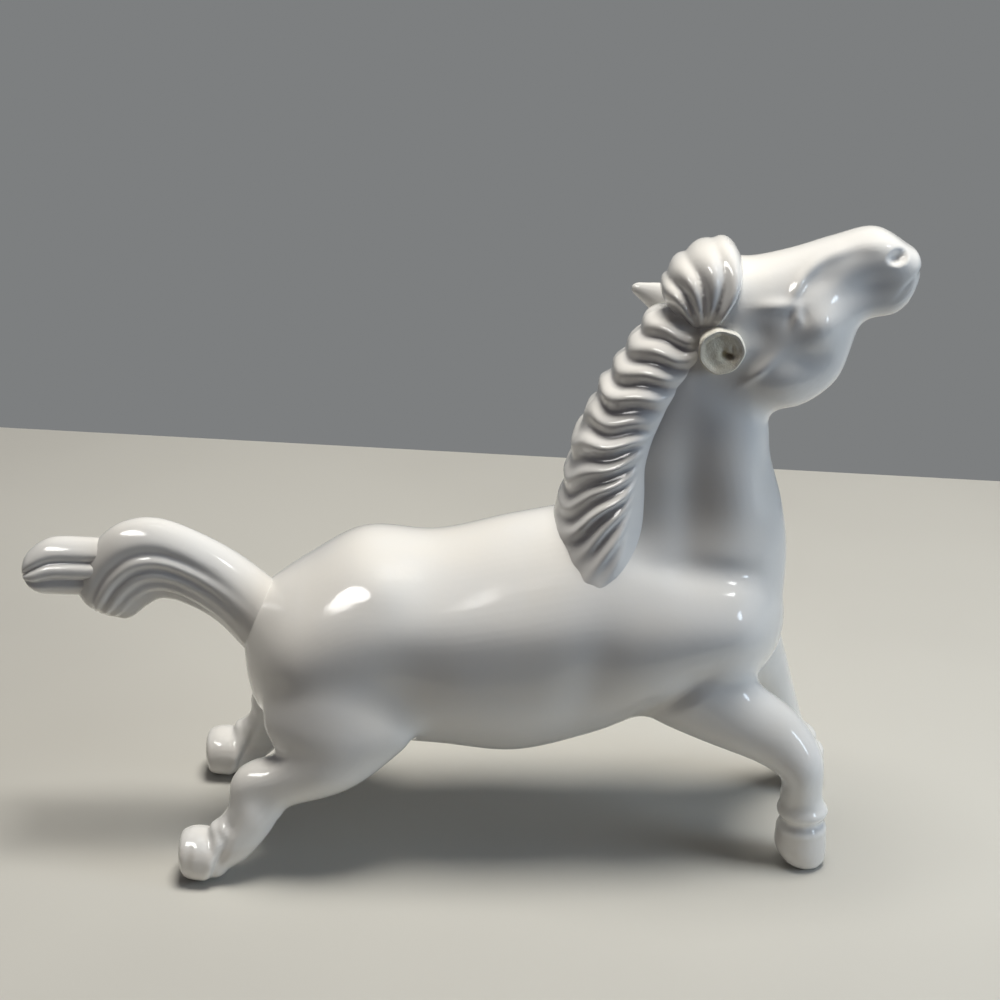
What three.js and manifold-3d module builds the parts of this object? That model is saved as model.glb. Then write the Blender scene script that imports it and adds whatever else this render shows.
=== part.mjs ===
// A glazed porcelain figurine of a galloping horse, made as a pottery makes it:
// hollow slip-cast shells and solid castings, each trimmed to its neighbour's surface
// and luted there with slip. Millimetres, +Z up, +X to the head, +Y to the horse's left.
import * as THREE from "three";
import { mergeVertices } from "three/addons/utils/BufferGeometryUtils.js";
import Module from "manifold-3d";

const wasm = await Module();
wasm.setup();
const { clamp, degToRad, euclideanModulo, lerp, radToDeg, smoothstep } = THREE.MathUtils;

// Driving dimensions of the castings
const WALL = 3.2; // thickness of the slip-cast shells
const LUTE_GAP = 0.3; // bed of slip between two castings

const BODY_LENGTH = 122.6; // buttock to breast
const BODY_HEIGHT = 50.3; // middle of the barrel above the table
const BARREL_DEPTH = 56; // withers to girth
const BARREL_WIDTH = 46;
const LOIN_DEPTH = 50;
const CROUP_DEPTH = 49;
const CROUP_WIDTH = 45;
const BREAST_DEPTH = 41;
const BREAST_WIDTH = 39;
const BODY_RELIEF = 1.5; // height of the muscles of the trunk
const VENT_DIAMETER = 4; // firing vent under the belly

const NECK_RISE = 66; // middle of the breast to the poll
const NECK_ROOT_DEPTH = 46; // breast to withers
const NECK_ROOT_WIDTH = 29;
const THROAT_DEPTH = 37;
const THROAT_WIDTH = 20;
const NECK_RELIEF = 1.6; // depth of the hollow behind the windpipe

const HEAD_LENGTH = 47; // poll to lips
const JOWL_DEPTH = 34;
const JOWL_WIDTH = 23;
const MUZZLE_DEPTH = 19;
const MUZZLE_WIDTH = 14;
const FACE_RELIEF = 2; // height of the cheekbone
const NOSTRIL_DIAMETER = 3.6;
const EYE_LENGTH = 6;
const EYE_HEIGHT = 3.8;
const MOUTH_LENGTH = 7; // lips to the corner of the mouth
const MOUTH_OPENING = 0.7;

const MANE_DEPTH = 19; // across a lock, from crest to side of neck
const MANE_WIDTH = 21;
const MANE_SLIDE = 9; // how far the mane falls back on the withers
const MANE_LOCKS = 12;
const MANE_RELIEF = 1.8;

const FORELOCK_LENGTH = 21; // longest lock, root to rim
const FORELOCK_WIDTH = 22.5;
const FORELOCK_ROOT = 1.5; // where the locks part, ahead of the poll
const FORELOCK_LOCKS = 4.8; // the fan ends within its last lock
const FORELOCK_RELIEF = 1.7;

const EAR_LENGTH = 19;
const EAR_DIAMETER = 9.5;
const EAR_HOLLOW = 2.2; // depth of the trough along the whole ear
const STUB_HEIGHT = 2.2; // what is left of the broken ear
const PIT_DIAMETER = 4; // hollow in the broken face

const FORE_TRACK = 35; // middle of the left fore hoof to middle of the right
const HIND_TRACK = 46;
const FOREARM_REACH = 24; // elbow to knee, along the body
const LEFT_ELBOW_LEAD = 12; // the left elbow is ahead of the right,
const LEFT_KNEE_LAG = 2; // its knee is behind the right one,
const LEFT_HOOF_LEAD = 4.6; // and its hoof is ahead
const KNEE_HEIGHT = 25.5;
const KNEE_DEPTH = 11;
const FORE_CANNON_DEPTH = 9.6;
const HOCK_REACH = 19; // stifle to hock, along the body
const HOCK_HEIGHT = 20.6;
const HOCK_DEPTH = 13.5;
const HIND_CANNON_DEPTH = 11;
const SHANK_WIDTH = 10; // cannons, across the body
const HOOF_HEIGHT = 8.5; // of a hoof that stands
const HOOF_LENGTH = 11.8;
const HOOF_WIDTH = 11.4;

const TAIL_LENGTH = 41; // dock to the end of the curl, along the body
const TAIL_ARCH = 16; // rise of the arch above the dock
const DOCK_DEPTH = 12;
const CURL_DEPTH = 20.5;
const TAIL_WIDTH = 12.5;
const TAIL_GROOVE = 1.3; // depth of the grooves between the strands
const TIP_LENGTH = 24;
const TIP_DEPTH = 13.8;

// The glaze and the bare fired clay
const glaze = new THREE.MeshStandardMaterial({ color: 0xefede6, roughness: 0.1, metalness: 0 });
const bisque = new THREE.MeshStandardMaterial({ color: 0xd8ceb0, roughness: 0.9, metalness: 0 });

// A casting's form is a row of key sections. Each lies in the plane of the width (Y) and of a
// depth axis that leans from +Z towards +X, and egg widens its far end of the depth.
const FIELDS = ["x", "y", "z", "lean", "depth", "width", "egg"];
const section = (x, z, lean, depth, width, egg = 0, y = 0) => ({ x, y, z, lean, depth, width, egg });

// A smooth run through the key sections: run(0) is the first section and run(1) the last.
function runThrough(keys) {
  const steps = keys.map((_, i) => i);
  const values = keys.flatMap((key) => FIELDS.map((field) => key[field]));
  const track = new THREE.CubicInterpolant(steps, values, FIELDS.length);
  return (t) => {
    const found = track.evaluate(t * (keys.length - 1));
    return Object.fromEntries(FIELDS.map((field, i) => [field, found[i]]));
  };
}

// How full a section is near a rounded end: a quarter ellipse over the share `round` of the run.
const fullness = (t, round) => (t < round ? Math.max(Math.sqrt(1 - (1 - t / round) ** 2), 0.02) : 1);

// The way a run is going at t
function heading(run, t) {
  const from = run(Math.max(t - 0.01, 0));
  const to = run(Math.min(t + 0.01, 1));
  return new THREE.Vector3(to.x - from.x, to.y - from.y, to.z - from.z).normalize();
}

// A closed skin lofted through key sections. Both ends draw in by a quarter ellipse over their
// round shares and close on a pole. A square under 1 makes the sections boxier than ellipses. grow
// moves the skin outwards, and relief(t, angle, place) does so locally. Angle 0 is the left side of
// a section and a quarter turn is the end of its depth axis.
function loft(keys, options) {
  const { rings, sides, roundStart = 0, roundEnd = 0, square = 1, grow = 0, relief = () => 0 } = options;
  const run = runThrough(keys);
  const bend = (share) => Math.sign(share) * Math.abs(share) ** square;
  const points = [];
  for (let i = 0; i <= rings; i++) {
    const t = (1 - Math.cos((Math.PI * i) / rings)) / 2;
    const s = run(t);
    const full = fullness(t, roundStart) * fullness(1 - t, roundEnd);
    const lean = degToRad(s.lean);
    const onward = heading(run, t).multiplyScalar(Math.sign(t - 0.5) * grow * Math.sqrt(1 - full ** 2));
    for (let j = 0; j < sides; j++) {
      const angle = (2 * Math.PI * j) / sides;
      const side = bend(Math.cos(angle));
      const far = bend(Math.sin(angle));
      const placeAt = (swell) => {
        const across = side * (1 + s.egg * far) * ((full * s.width) / 2 + swell);
        const along = far * ((full * s.depth) / 2 + swell);
        return new THREE.Vector3(s.x + along * Math.sin(lean), s.y + across, s.z + along * Math.cos(lean));
      };
      const swell = (grow + relief(t, angle, placeAt(0))) * full;
      points.push(...placeAt(swell).add(onward));
    }
  }
  for (const [t, round] of [[0, roundStart], [1, roundEnd]]) {
    const { x, y, z } = run(t);
    const onward = heading(run, t).multiplyScalar(round > 0 ? Math.sign(t - 0.5) * grow : 0);
    points.push(...new THREE.Vector3(x, y, z).add(onward));
  }
  const startPole = (rings + 1) * sides;
  const faces = [];
  for (let j = 0; j < sides; j++) {
    const next = (j + 1) % sides;
    for (let i = 0; i < rings; i++) {
      const [a, b, c, d] = [i * sides + j, i * sides + next, (i + 1) * sides + next, (i + 1) * sides + j];
      faces.push(a, b, c, a, c, d);
    }
    faces.push(startPole, next, j);
    faces.push(startPole + 1, rings * sides + j, rings * sides + next);
  }
  return new THREE.BufferGeometry()
    .setAttribute("position", new THREE.Float32BufferAttribute(points, 3))
    .setIndex(faces);
}

// A closed geometry as a solid for cutting and joining, facing outwards.
function solid(geometry) {
  const bare = geometry.clone();
  bare.deleteAttribute("normal");
  bare.deleteAttribute("uv");
  const merged = mergeVertices(bare, 1e-4);
  const triVerts = new Uint32Array(merged.index.array);
  const vertProperties = merged.attributes.position.array;
  const made = new wasm.Manifold(new wasm.Mesh({ numProp: 3, vertProperties, triVerts }));
  if (made.volume() > 0) return made;
  triVerts.reverse();
  return new wasm.Manifold(new wasm.Mesh({ numProp: 3, vertProperties, triVerts }));
}

// The solid with its neighbours cut out of it. The largest body is the casting, and any offcut goes.
function trim(body, ...cutters) {
  const left = cutters.reduce((rest, cutter) => rest.subtract(cutter), body);
  return left.decompose().reduce((most, piece) => (piece.volume() > most.volume() ? piece : most));
}

const moved = (geometry, x, y, z) => solid(geometry.clone().translate(x, y, z));

function casting(name, body, material) {
  const { numProp, vertProperties, triVerts } = body.getMesh();
  const geometry = new THREE.BufferGeometry()
    .setAttribute("position", new THREE.InterleavedBufferAttribute(
      new THREE.InterleavedBuffer(vertProperties, numProp), 3, 0))
    .setIndex(new THREE.BufferAttribute(triVerts, 1));
  const mesh = new THREE.Mesh(geometry, material);
  mesh.name = name;
  return mesh;
}

// Places on the figure that more than one casting goes by. The buttock is at x = 0.
const station = (share) => share * BODY_LENGTH;
const neckRoot = { x: station(0.81), z: BODY_HEIGHT * 1.11 };
const poll = { x: station(0.815), z: neckRoot.z + NECK_RISE };
const dock = { x: station(0.06), z: BODY_HEIGHT * 1.05 };
const elbow = { x: station(0.83), z: BODY_HEIGHT * 0.92 };
const stifle = { x: station(0.187), z: BODY_HEIGHT * 0.73 };

// The key sections of each casting
const bodyKeys = [
  section(station(0), BODY_HEIGHT * 0.86, 0, CROUP_DEPTH * 0.76, CROUP_WIDTH * 0.78),
  section(station(0.095), BODY_HEIGHT * 0.93, 0, CROUP_DEPTH * 0.8, CROUP_WIDTH * 0.92),
  section(station(0.218), BODY_HEIGHT, 0, CROUP_DEPTH, CROUP_WIDTH),
  section(station(0.358), BODY_HEIGHT * 0.98, 0, LOIN_DEPTH, (CROUP_WIDTH + BARREL_WIDTH) / 2),
  section(station(0.5), BODY_HEIGHT, 0, BARREL_DEPTH, BARREL_WIDTH),
  section(station(0.64), BODY_HEIGHT * 1.07, 0, BARREL_DEPTH * 0.97, BARREL_WIDTH),
  section(station(0.745), BODY_HEIGHT * 1.11, 0, BARREL_DEPTH * 0.84, BARREL_WIDTH * 0.95),
  section(station(0.87), BODY_HEIGHT * 1.12, 0, BREAST_DEPTH, BREAST_WIDTH),
  section(station(1), BODY_HEIGHT * 1.12, 0, BREAST_DEPTH * 0.85, BREAST_WIDTH * 0.8),
];

const NECK_EGG = 0.14; // the neck is broader at the windpipe than at the crest
const up = (share) => neckRoot.z + NECK_RISE * share;
const neckAt = (back, rise, depth, width) =>
  section(neckRoot.x - NECK_ROOT_DEPTH * back, up(rise), 90, depth, width, NECK_EGG);
const neckKeys = [
  neckAt(0, 0.06, NECK_ROOT_DEPTH, NECK_ROOT_WIDTH * 1.05),
  neckAt(0, 0.24, NECK_ROOT_DEPTH, NECK_ROOT_WIDTH * 0.97),
  neckAt(0.02, 0.41, NECK_ROOT_DEPTH * 0.96, NECK_ROOT_WIDTH * 0.8),
  neckAt(0.05, 0.58, THROAT_DEPTH * 1.1, THROAT_WIDTH * 1.15),
  neckAt(0.03, 0.73, THROAT_DEPTH, THROAT_WIDTH * 1.05),
  section(poll.x - THROAT_DEPTH * 0.01, up(0.88), 95, THROAT_DEPTH * 0.82, THROAT_WIDTH),
  section(poll.x + THROAT_DEPTH * 0.03, up(1.02), 100, THROAT_DEPTH * 0.58, THROAT_WIDTH * 0.9),
];

const face = (out, rise, lean, depth, width) =>
  section(poll.x + HEAD_LENGTH * out, poll.z + JOWL_DEPTH * rise, lean, depth, width);
const headKeys = [
  face(-0.02, 0.03, -5, JOWL_DEPTH * 0.6, JOWL_WIDTH * 0.7),
  face(0.12, 0.04, -8, JOWL_DEPTH * 0.9, JOWL_WIDTH * 0.93),
  face(0.33, 0, -14, JOWL_DEPTH, JOWL_WIDTH),
  face(0.525, 0.12, -22, JOWL_DEPTH * 0.89, JOWL_WIDTH * 0.87),
  face(0.68, 0.35, -18, MUZZLE_DEPTH * 1.03, MUZZLE_WIDTH * 1.05),
  face(0.81, 0.395, -6, MUZZLE_DEPTH * 1.03, MUZZLE_WIDTH),
  face(0.92, 0.365, 5, MUZZLE_DEPTH * 0.75, MUZZLE_WIDTH * 0.9),
  face(1, 0.39, 10, MUZZLE_DEPTH * 0.42, MUZZLE_WIDTH * 0.62),
];

const forelegKeys = (side) => {
  const ahead = side > 0 ? 1 : 0;
  const start = elbow.x + LEFT_ELBOW_LEAD * ahead;
  const knee = { x: elbow.x + FOREARM_REACH - LEFT_KNEE_LAG * ahead, z: KNEE_HEIGHT };
  const foot = elbow.x + FOREARM_REACH + FORE_CANNON_DEPTH * 0.1 + LEFT_HOOF_LEAD * ahead;
  const ankle = foot - (LEFT_HOOF_LEAD / 2) * ahead;
  const root = (side * BARREL_WIDTH) / 4;
  const track = (side * FORE_TRACK) / 2;
  const limb = (x, z, lean, depth, width, y = track) => section(x, z, lean, depth, width, 0, y);
  const stand = (toe, rise, depth, width) =>
    limb(foot + HOOF_LENGTH * toe, HOOF_HEIGHT * rise, 90, depth, width);
  return [
    limb(lerp(elbow.x, start, 0.3), elbow.z, 46, KNEE_DEPTH * 2.8, SHANK_WIDTH * 1.7, root),
    limb(lerp(start, knee.x, 0.31), elbow.z * 0.82, 42, KNEE_DEPTH * 1.78, SHANK_WIDTH * 1.4, track * 0.78),
    limb(lerp(start, knee.x, 0.77), knee.z * 1.24, 38, KNEE_DEPTH * 1.3, SHANK_WIDTH * 1.22, track * 0.91),
    limb(knee.x, knee.z, 54, KNEE_DEPTH, SHANK_WIDTH * 1.16),
    limb((knee.x + ankle) / 2, HOOF_HEIGHT * 2.1, 84, FORE_CANNON_DEPTH, SHANK_WIDTH * 0.95),
    limb(ankle, HOOF_HEIGHT * 1.66, 90, FORE_CANNON_DEPTH * 1.15, SHANK_WIDTH * 1.1),
    limb((ankle + foot) / 2, HOOF_HEIGHT * 1.38, 90, FORE_CANNON_DEPTH * 1.07, SHANK_WIDTH * 1.02),
    stand(0, 1.16, HOOF_LENGTH * 0.93, HOOF_WIDTH * 0.96),
    stand(0, 0.65, HOOF_LENGTH, HOOF_WIDTH),
    stand(0.07, 0.2, HOOF_LENGTH * 0.84, HOOF_WIDTH * 0.88),
    stand(0.12, 0, HOOF_LENGTH * 0.6, HOOF_WIDTH * 0.66),
  ];
};

const hindLegKeys = (side) => {
  const hock = { x: stifle.x - HOCK_REACH, z: HOCK_HEIGHT };
  const pastern = { x: hock.x - HIND_CANNON_DEPTH * 0.55, z: HOOF_HEIGHT * 1.15 };
  const cannon = { x: hock.x - HIND_CANNON_DEPTH * 0.2, z: (hock.z + pastern.z) * 0.475 };
  const root = (side * CROUP_WIDTH) / 4;
  const track = (side * HIND_TRACK) / 2;
  const limb = (x, z, lean, depth, width, y = track) => section(x, z, lean, depth, width, 0, y);
  const thigh = (back, z, lean, depth, width, y) =>
    limb(stifle.x - HOCK_REACH * back, z, lean, HOCK_DEPTH * depth, SHANK_WIDTH * width, y);
  const hoof = (out, rise, lean, length, width) =>
    limb(pastern.x - HOOF_LENGTH * out, HOOF_HEIGHT * rise, lean, HOOF_LENGTH * length, HOOF_WIDTH * width);
  return [
    thigh(-0.14, stifle.z + HOCK_DEPTH, -80, 2.4, 2, root),
    thigh(0, stifle.z, -84, 2.65, 1.9, track * 0.7),
    thigh(0.18, stifle.z * 0.78, -78, 1.85, 1.55, track * 0.79),
    thigh(0.65, hock.z * 1.17, -28, 1.03, 1.2, track * 0.86),
    thigh(1, hock.z, -38, 1, 1.1, track * 0.9),
    limb(cannon.x, cannon.z, -55, HIND_CANNON_DEPTH, SHANK_WIDTH * 1.05, track * 0.95),
    limb(pastern.x, pastern.z, -40, HIND_CANNON_DEPTH * 0.98, SHANK_WIDTH * 0.98),
    hoof(0.26, 0.86, -28, 0.88, 0.9),
    hoof(0.42, 0.74, -18, 1.02, 1.06),
    hoof(0.74, 0.7, -8, 1.04, 1.08),
    hoof(1.06, 0.65, -2, 0.86, 0.94),
  ];
};

const switchOf = (out, rise, lean, depth, width) =>
  section(dock.x - TAIL_LENGTH * out, dock.z + TAIL_ARCH * rise, lean, depth, TAIL_WIDTH * width);
const tailKeys = [
  switchOf(0.02, -0.08, 24, DOCK_DEPTH, 0.86),
  switchOf(0.295, 0.575, 2, CURL_DEPTH * 0.86, 0.92),
  switchOf(0.545, 0.935, -11, CURL_DEPTH, 0.96),
  switchOf(0.72, 0.96, -25, CURL_DEPTH * 0.985, 0.99),
  switchOf(0.845, 0.74, -39, CURL_DEPTH * 0.905, 0.97),
  switchOf(0.935, 0.415, -51, CURL_DEPTH * 0.75, 0.91),
  switchOf(0.99, 0.185, -61, CURL_DEPTH * 0.52, 0.62),
];

const tipRoot = { x: dock.x - TAIL_LENGTH * 0.8, z: dock.z + TAIL_ARCH * 0.87 };
const tipOf = (out, rise, lean, depth, width) =>
  section(tipRoot.x - TIP_LENGTH * out, tipRoot.z + TIP_DEPTH * rise, lean,
    TIP_DEPTH * depth, TAIL_WIDTH * width);
const tipKeys = [
  tipOf(0.11, 0, 0, 0.94, 0.67),
  tipOf(0.36, 0, 0, 1, 0.74),
  tipOf(0.69, 0, -4, 0.99, 0.77),
  tipOf(0.89, -0.08, -9, 0.73, 0.73),
  tipOf(1, -0.14, -16, 0.26, 0.48),
];

// The forelock is a fan: each key section is one way out of its root, from the front to the back.
const tuft = (lean, length, width) => {
  const from = FORELOCK_ROOT;
  const to = FORELOCK_LENGTH * length;
  const x = poll.x + FORELOCK_ROOT + ((from + to) / 2) * Math.sin(degToRad(lean));
  const z = poll.z + ((from + to) / 2) * Math.cos(degToRad(lean));
  return section(x, z, lean, to - from, FORELOCK_WIDTH * width);
};
const forelockKeys = [
  tuft(38, 0.71, 0.89),
  tuft(26, 0.88, 1),
  tuft(9, 1, 1),
  tuft(-6, 0.92, 0.96),
  tuft(-20, 0.83, 0.87),
  tuft(-35, 0.72, 0.73),
  tuft(-56, 0.55, 0.53),
];

const earKeys = (side) => {
  const root = { x: poll.x + EAR_DIAMETER * 0.46, z: poll.z - EAR_DIAMETER * 0.02 };
  const out = (side * JOWL_WIDTH) / 2;
  const leaf = (back, rise, depth, width, share) =>
    section(root.x - EAR_LENGTH * back, root.z + EAR_LENGTH * rise, 25,
      EAR_DIAMETER * depth, EAR_DIAMETER * width, 0, out * share);
  return [leaf(0, 0, 0.85, 0.6, 0.75), leaf(0.4, 0.17, 1, 0.65, 0.9), leaf(0.9, 0.36, 0.36, 0.24, 1)];
};

// The mane lies along the crest of the neck and past both its ends: its sections stand square
// to the crest line, and spread and slide back where it falls on the withers.
const maneKeys = [0, 0.2, 0.4, 0.6, 0.8, 1].map((t) => {
  const neckRun = runThrough(neckKeys);
  const crest = (at) => {
    const s = neckRun(clamp(at, 0, 1));
    return new THREE.Vector2(s.x - s.depth / 2, s.z);
  };
  const climb = crest(t + 0.03).sub(crest(t - 0.03)).normalize();
  const place = crest(t).addScaledVector(climb, MANE_DEPTH * (t === 1 ? 0.45 : 0));
  const fall = (1 - t) ** 2;
  const depth = MANE_DEPTH * (1 + 0.35 * fall);
  const inset = depth / 2 - MANE_DEPTH * 0.12 - MANE_SLIDE * fall ** 1.5;
  const lean = radToDeg(Math.atan2(climb.y, -climb.x));
  return section(place.x + climb.y * inset, place.y - climb.x * inset, lean, depth, MANE_WIDTH * (1 + fall));
});

// Reliefs. A bell is 1 at 0 and fades out past 1; ridges are 1 on a crest, at a whole phase, and
// 0 in a groove, with narrow crests where sharp is over 1 and narrow grooves where it is under 1.
const bell = (u) => Math.exp(-(u ** 2));
const ridges = (phase, sharp) => (0.5 + 0.5 * Math.cos(2 * Math.PI * phase)) ** sharp;

// A push of the modelling tool, alike on both sides: it fades out over its reach round a place,
// and its reach is turned by some degrees in the side view.
const stroke = (place, reach, push, turn = 0) => (point) => {
  const away = new THREE.Vector3(point.x, Math.abs(point.y), point.z).sub(place);
  away.applyAxisAngle(new THREE.Vector3(0, 1, 0), degToRad(turn));
  return push * bell(away.divide(reach).length());
};
const modelled = (strokes) => (t, angle, place) => strokes.reduce((sum, push) => sum + push(place), 0);

// Muscles of the trunk: shoulder, breast, the hollow behind the shoulder, flank, haunch and hip
const muscle = (along, side, rise, long, high, push, turn) => stroke(
  new THREE.Vector3(station(along), (BARREL_WIDTH / 2) * side, BODY_HEIGHT * rise),
  new THREE.Vector3(BARREL_DEPTH * long, BARREL_WIDTH * 0.24, BARREL_DEPTH * high),
  BODY_RELIEF * push,
  turn,
);
const bodyRelief = modelled([
  muscle(0.77, 0.83, 1.07, 0.18, 0.3, 1, -20),
  muscle(0.87, 0.74, 1.17, 0.2, 0.16, 1.3, 0),
  muscle(0.64, 0.96, 1, 0.11, 0.27, -0.6, -12),
  muscle(0.3, 0.96, 0.93, 0.16, 0.2, -0.7, 0),
  muscle(0.12, 0.96, 1.01, 0.23, 0.23, 0.9, 0),
  muscle(0.26, 0.7, 1.37, 0.11, 0.09, 0.5, 0),
]);

// The muscle along the windpipe and the hollow behind it
const cord = (fore, rise, push) => stroke(
  new THREE.Vector3(neckRoot.x + NECK_ROOT_DEPTH * fore, THROAT_WIDTH * 0.6, up(rise)),
  new THREE.Vector3(NECK_ROOT_DEPTH * 0.11, THROAT_WIDTH * 0.4, NECK_RISE * 0.25),
  NECK_RELIEF * push,
);
const neckRelief = modelled([cord(0.24, 0.55, 0.75), cord(-0.01, 0.49, -1.2)]);

// The face: brow, valley beside the nose, hollow of the muzzle, cheekbone, eye socket and jowl
const feature = (out, rise, long, high, push, turn) => stroke(
  new THREE.Vector3(poll.x + HEAD_LENGTH * out, JOWL_WIDTH * 0.4, poll.z + JOWL_DEPTH * rise),
  new THREE.Vector3(JOWL_DEPTH * long, JOWL_WIDTH * 0.25, JOWL_DEPTH * high),
  FACE_RELIEF * push,
  turn,
);
const headRelief = modelled([
  feature(0.31, 0.25, 0.13, 0.06, 0.5, 0),
  feature(0.54, 0.4, 0.13, 0.08, -0.4, 20),
  feature(0.755, 0.405, 0.17, 0.1, -1, 5),
  feature(0.535, 0.21, 0.13, 0.09, 1.15, 38),
  feature(0.27, 0.12, 0.1, 0.08, -0.9, -40),
  feature(0.475, 0, 0.15, 0.06, -0.5, 0),
  feature(0.225, -0.07, 0.12, 0.05, -0.5, 45),
  feature(0.415, -0.195, 0.16, 0.1, 0.4, 0),
]);

// Share of the mane's length that lies below t, so that its locks are evenly spaced
const maneRun = runThrough(maneKeys);
const WALK_STEPS = 40;
const maneWalk = [0];
for (let i = 1; i <= WALK_STEPS; i++) {
  const from = maneRun((i - 1) / WALK_STEPS);
  const to = maneRun(i / WALK_STEPS);
  maneWalk.push(maneWalk.at(-1) + Math.hypot(to.x - from.x, to.z - from.z));
}
const maneShare = (t) => {
  const place = clamp(t, 0, 1) * WALK_STEPS;
  const step = Math.min(Math.floor(place), WALK_STEPS - 1);
  const walked = lerp(maneWalk[step], maneWalk[step + 1], place - step);
  return walked / maneWalk.at(-1) + Math.min(t, 0);
};

// Locks of the mane. Each starts at the crest and turns up along the side, more so the lower it
// starts, and dies out in a smooth band along the mane's edge. The lowest fade into the withers.
const MANE_REACH = degToRad(112); // from the crest to the mane's edge, round a section
const maneRelief = (t, angle) => {
  const fromCrest = Math.abs(euclideanModulo(angle - Math.PI / 2, 2 * Math.PI) - Math.PI);
  const side = fromCrest / MANE_REACH;
  const low = clamp((0.95 - t) / 0.6, 0, 1);
  const lift = (0.05 + 0.25 * low * (0.45 + 0.55 * smoothstep(t, 0, 0.4))) * Math.min(side, 1.1) ** 2;
  const start = maneShare(t - lift) + 0.008 * Math.sin(9 * side + 14 * t);
  const phase = MANE_LOCKS * start + 0.12 * Math.sin(9 * start + 0.6);
  const swing = 1 + 0.2 * Math.sin(2.4 * Math.round(phase) + 0.7);
  const height = swing * (0.55 + 0.45 * smoothstep(side, 0.05, 0.4)) * (1 - smoothstep(side, 0.72, 1.05));
  const lock = height * ridges(phase, 0.7 + 0.5 * low);
  const band = 0.7 * low * bell((side - 0.92) / 0.13);
  const fade = 0.12 + 0.88 * smoothstep(t + 0.18 * side, 0.3, 0.44);
  return MANE_RELIEF * ((lock + band - 0.55) * fade + 0.1);
};

// Locks of the forelock: ridges from the root to the rim that bow forwards on their way
const forelockRelief = (t, angle) => {
  const out = 0.5 + 0.5 * Math.sin(angle);
  const phase = FORELOCK_LOCKS * (t + 0.1 * Math.sin(Math.PI * out)) - 0.35;
  const swing = 1 + 0.2 * Math.sin(2.1 * Math.round(phase));
  const height = smoothstep(out, 0.12, 0.6) * (1 - 0.55 * out ** 6);
  return FORELOCK_RELIEF * height * (swing * ridges(phase, 0.62) - 0.6);
};

// Grooves along the tail, each at a place between its upper edge (1) and its lower edge (-1)
const grooves = (places, bare) => (t, angle) => {
  const troughs = places.reduce((sum, place) => sum + bell((Math.sin(angle) - place) / 0.13), 0);
  return -TAIL_GROOVE * troughs * smoothstep(t, bare, bare + 0.35);
};

// The trough along the outer side of the whole ear
const earRelief = (t, angle) => {
  const away = Math.min(angle, 2 * Math.PI - angle);
  return -EAR_HOLLOW * bell(away / 0.55) * Math.sin(Math.PI * t) ** 1.5;
};

// The forms, as solids that may be grown by the lute gap to cut a seat for them
const body = (grow = 0) =>
  solid(loft(bodyKeys, { rings: 24, sides: 24, roundStart: 0.15, roundEnd: 0.11, grow, relief: bodyRelief }));
const neck = (grow = 0) => solid(loft(neckKeys, { rings: 14, sides: 24, grow, relief: neckRelief }));
const head = (grow = 0) =>
  solid(loft(headKeys, {
    rings: 24, sides: 24, roundStart: 0.14, roundEnd: 0.09, square: 0.8, grow, relief: headRelief,
  }));
const mane = (grow = 0) =>
  solid(loft(maneKeys, { rings: 64, sides: 20, roundStart: 0.08, roundEnd: 0.08, grow, relief: maneRelief }));
const forelock = (grow = 0) =>
  solid(loft(forelockKeys, {
    rings: 32, sides: 16, roundStart: 0.2, roundEnd: 0.16, square: 0.85, grow, relief: forelockRelief,
  }));
const tail = (grow = 0) => {
  const relief = grooves([0.36, -0.05, -0.42, -0.74], 0);
  return solid(loft(tailKeys, { rings: 14, sides: 36, roundStart: 0.04, roundEnd: 0.12, grow, relief }));
};
const tip = () => {
  const relief = grooves([0.38, -0.32], -0.35);
  return solid(loft(tipKeys, { rings: 8, sides: 24, roundStart: 0.04, roundEnd: 0.12, relief }));
};

// The bore of a slip-cast shell: its form drawn in by the wall, ends included
function bore(keys, options) {
  const inner = keys.map((key) => ({ ...key, depth: key.depth - 2 * WALL, width: key.width - 2 * WALL }));
  return solid(loft(inner, options));
}
const bodyBore = () => {
  const keys = bodyKeys.map((key) => ({ ...key }));
  keys[0].x += WALL;
  keys.at(-1).x -= WALL;
  return bore(keys, { rings: 10, sides: 12, roundStart: 0.15, roundEnd: 0.11 });
};
const neckBore = () => {
  const keys = neckKeys.map((key) => ({ ...key }));
  keys.at(-1).z -= WALL;
  return bore(keys, { rings: 8, sides: 12 });
};
const headBore = () => {
  const keys = headKeys.slice(0, -3).map((key) => ({ ...key }));
  keys[0].x += WALL;
  return bore(keys, { rings: 8, sides: 12, roundStart: 0.14, roundEnd: 0.12 });
};

// The table top, as a block that levels the feet
const table = () => {
  const reach = 3 * BODY_LENGTH;
  return moved(new THREE.BoxGeometry(reach, reach, HOOF_HEIGHT), 0, 0, -HOOF_HEIGHT / 2);
};

// Hollow shell of the trunk, open to the neck, with its firing vent under the belly
function bodyShell() {
  const vent = new THREE.CylinderGeometry(VENT_DIAMETER / 2, VENT_DIAMETER / 2, BARREL_DEPTH / 2, 16);
  vent.rotateX(Math.PI / 2);
  const drilled = moved(vent, station(0.4), 0, BODY_HEIGHT - BARREL_DEPTH / 2);
  return trim(body(), bodyBore(), neckBore(), drilled);
}

const neckShell = () => trim(neck(), body(LUTE_GAP), head(LUTE_GAP), neckBore());

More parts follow.
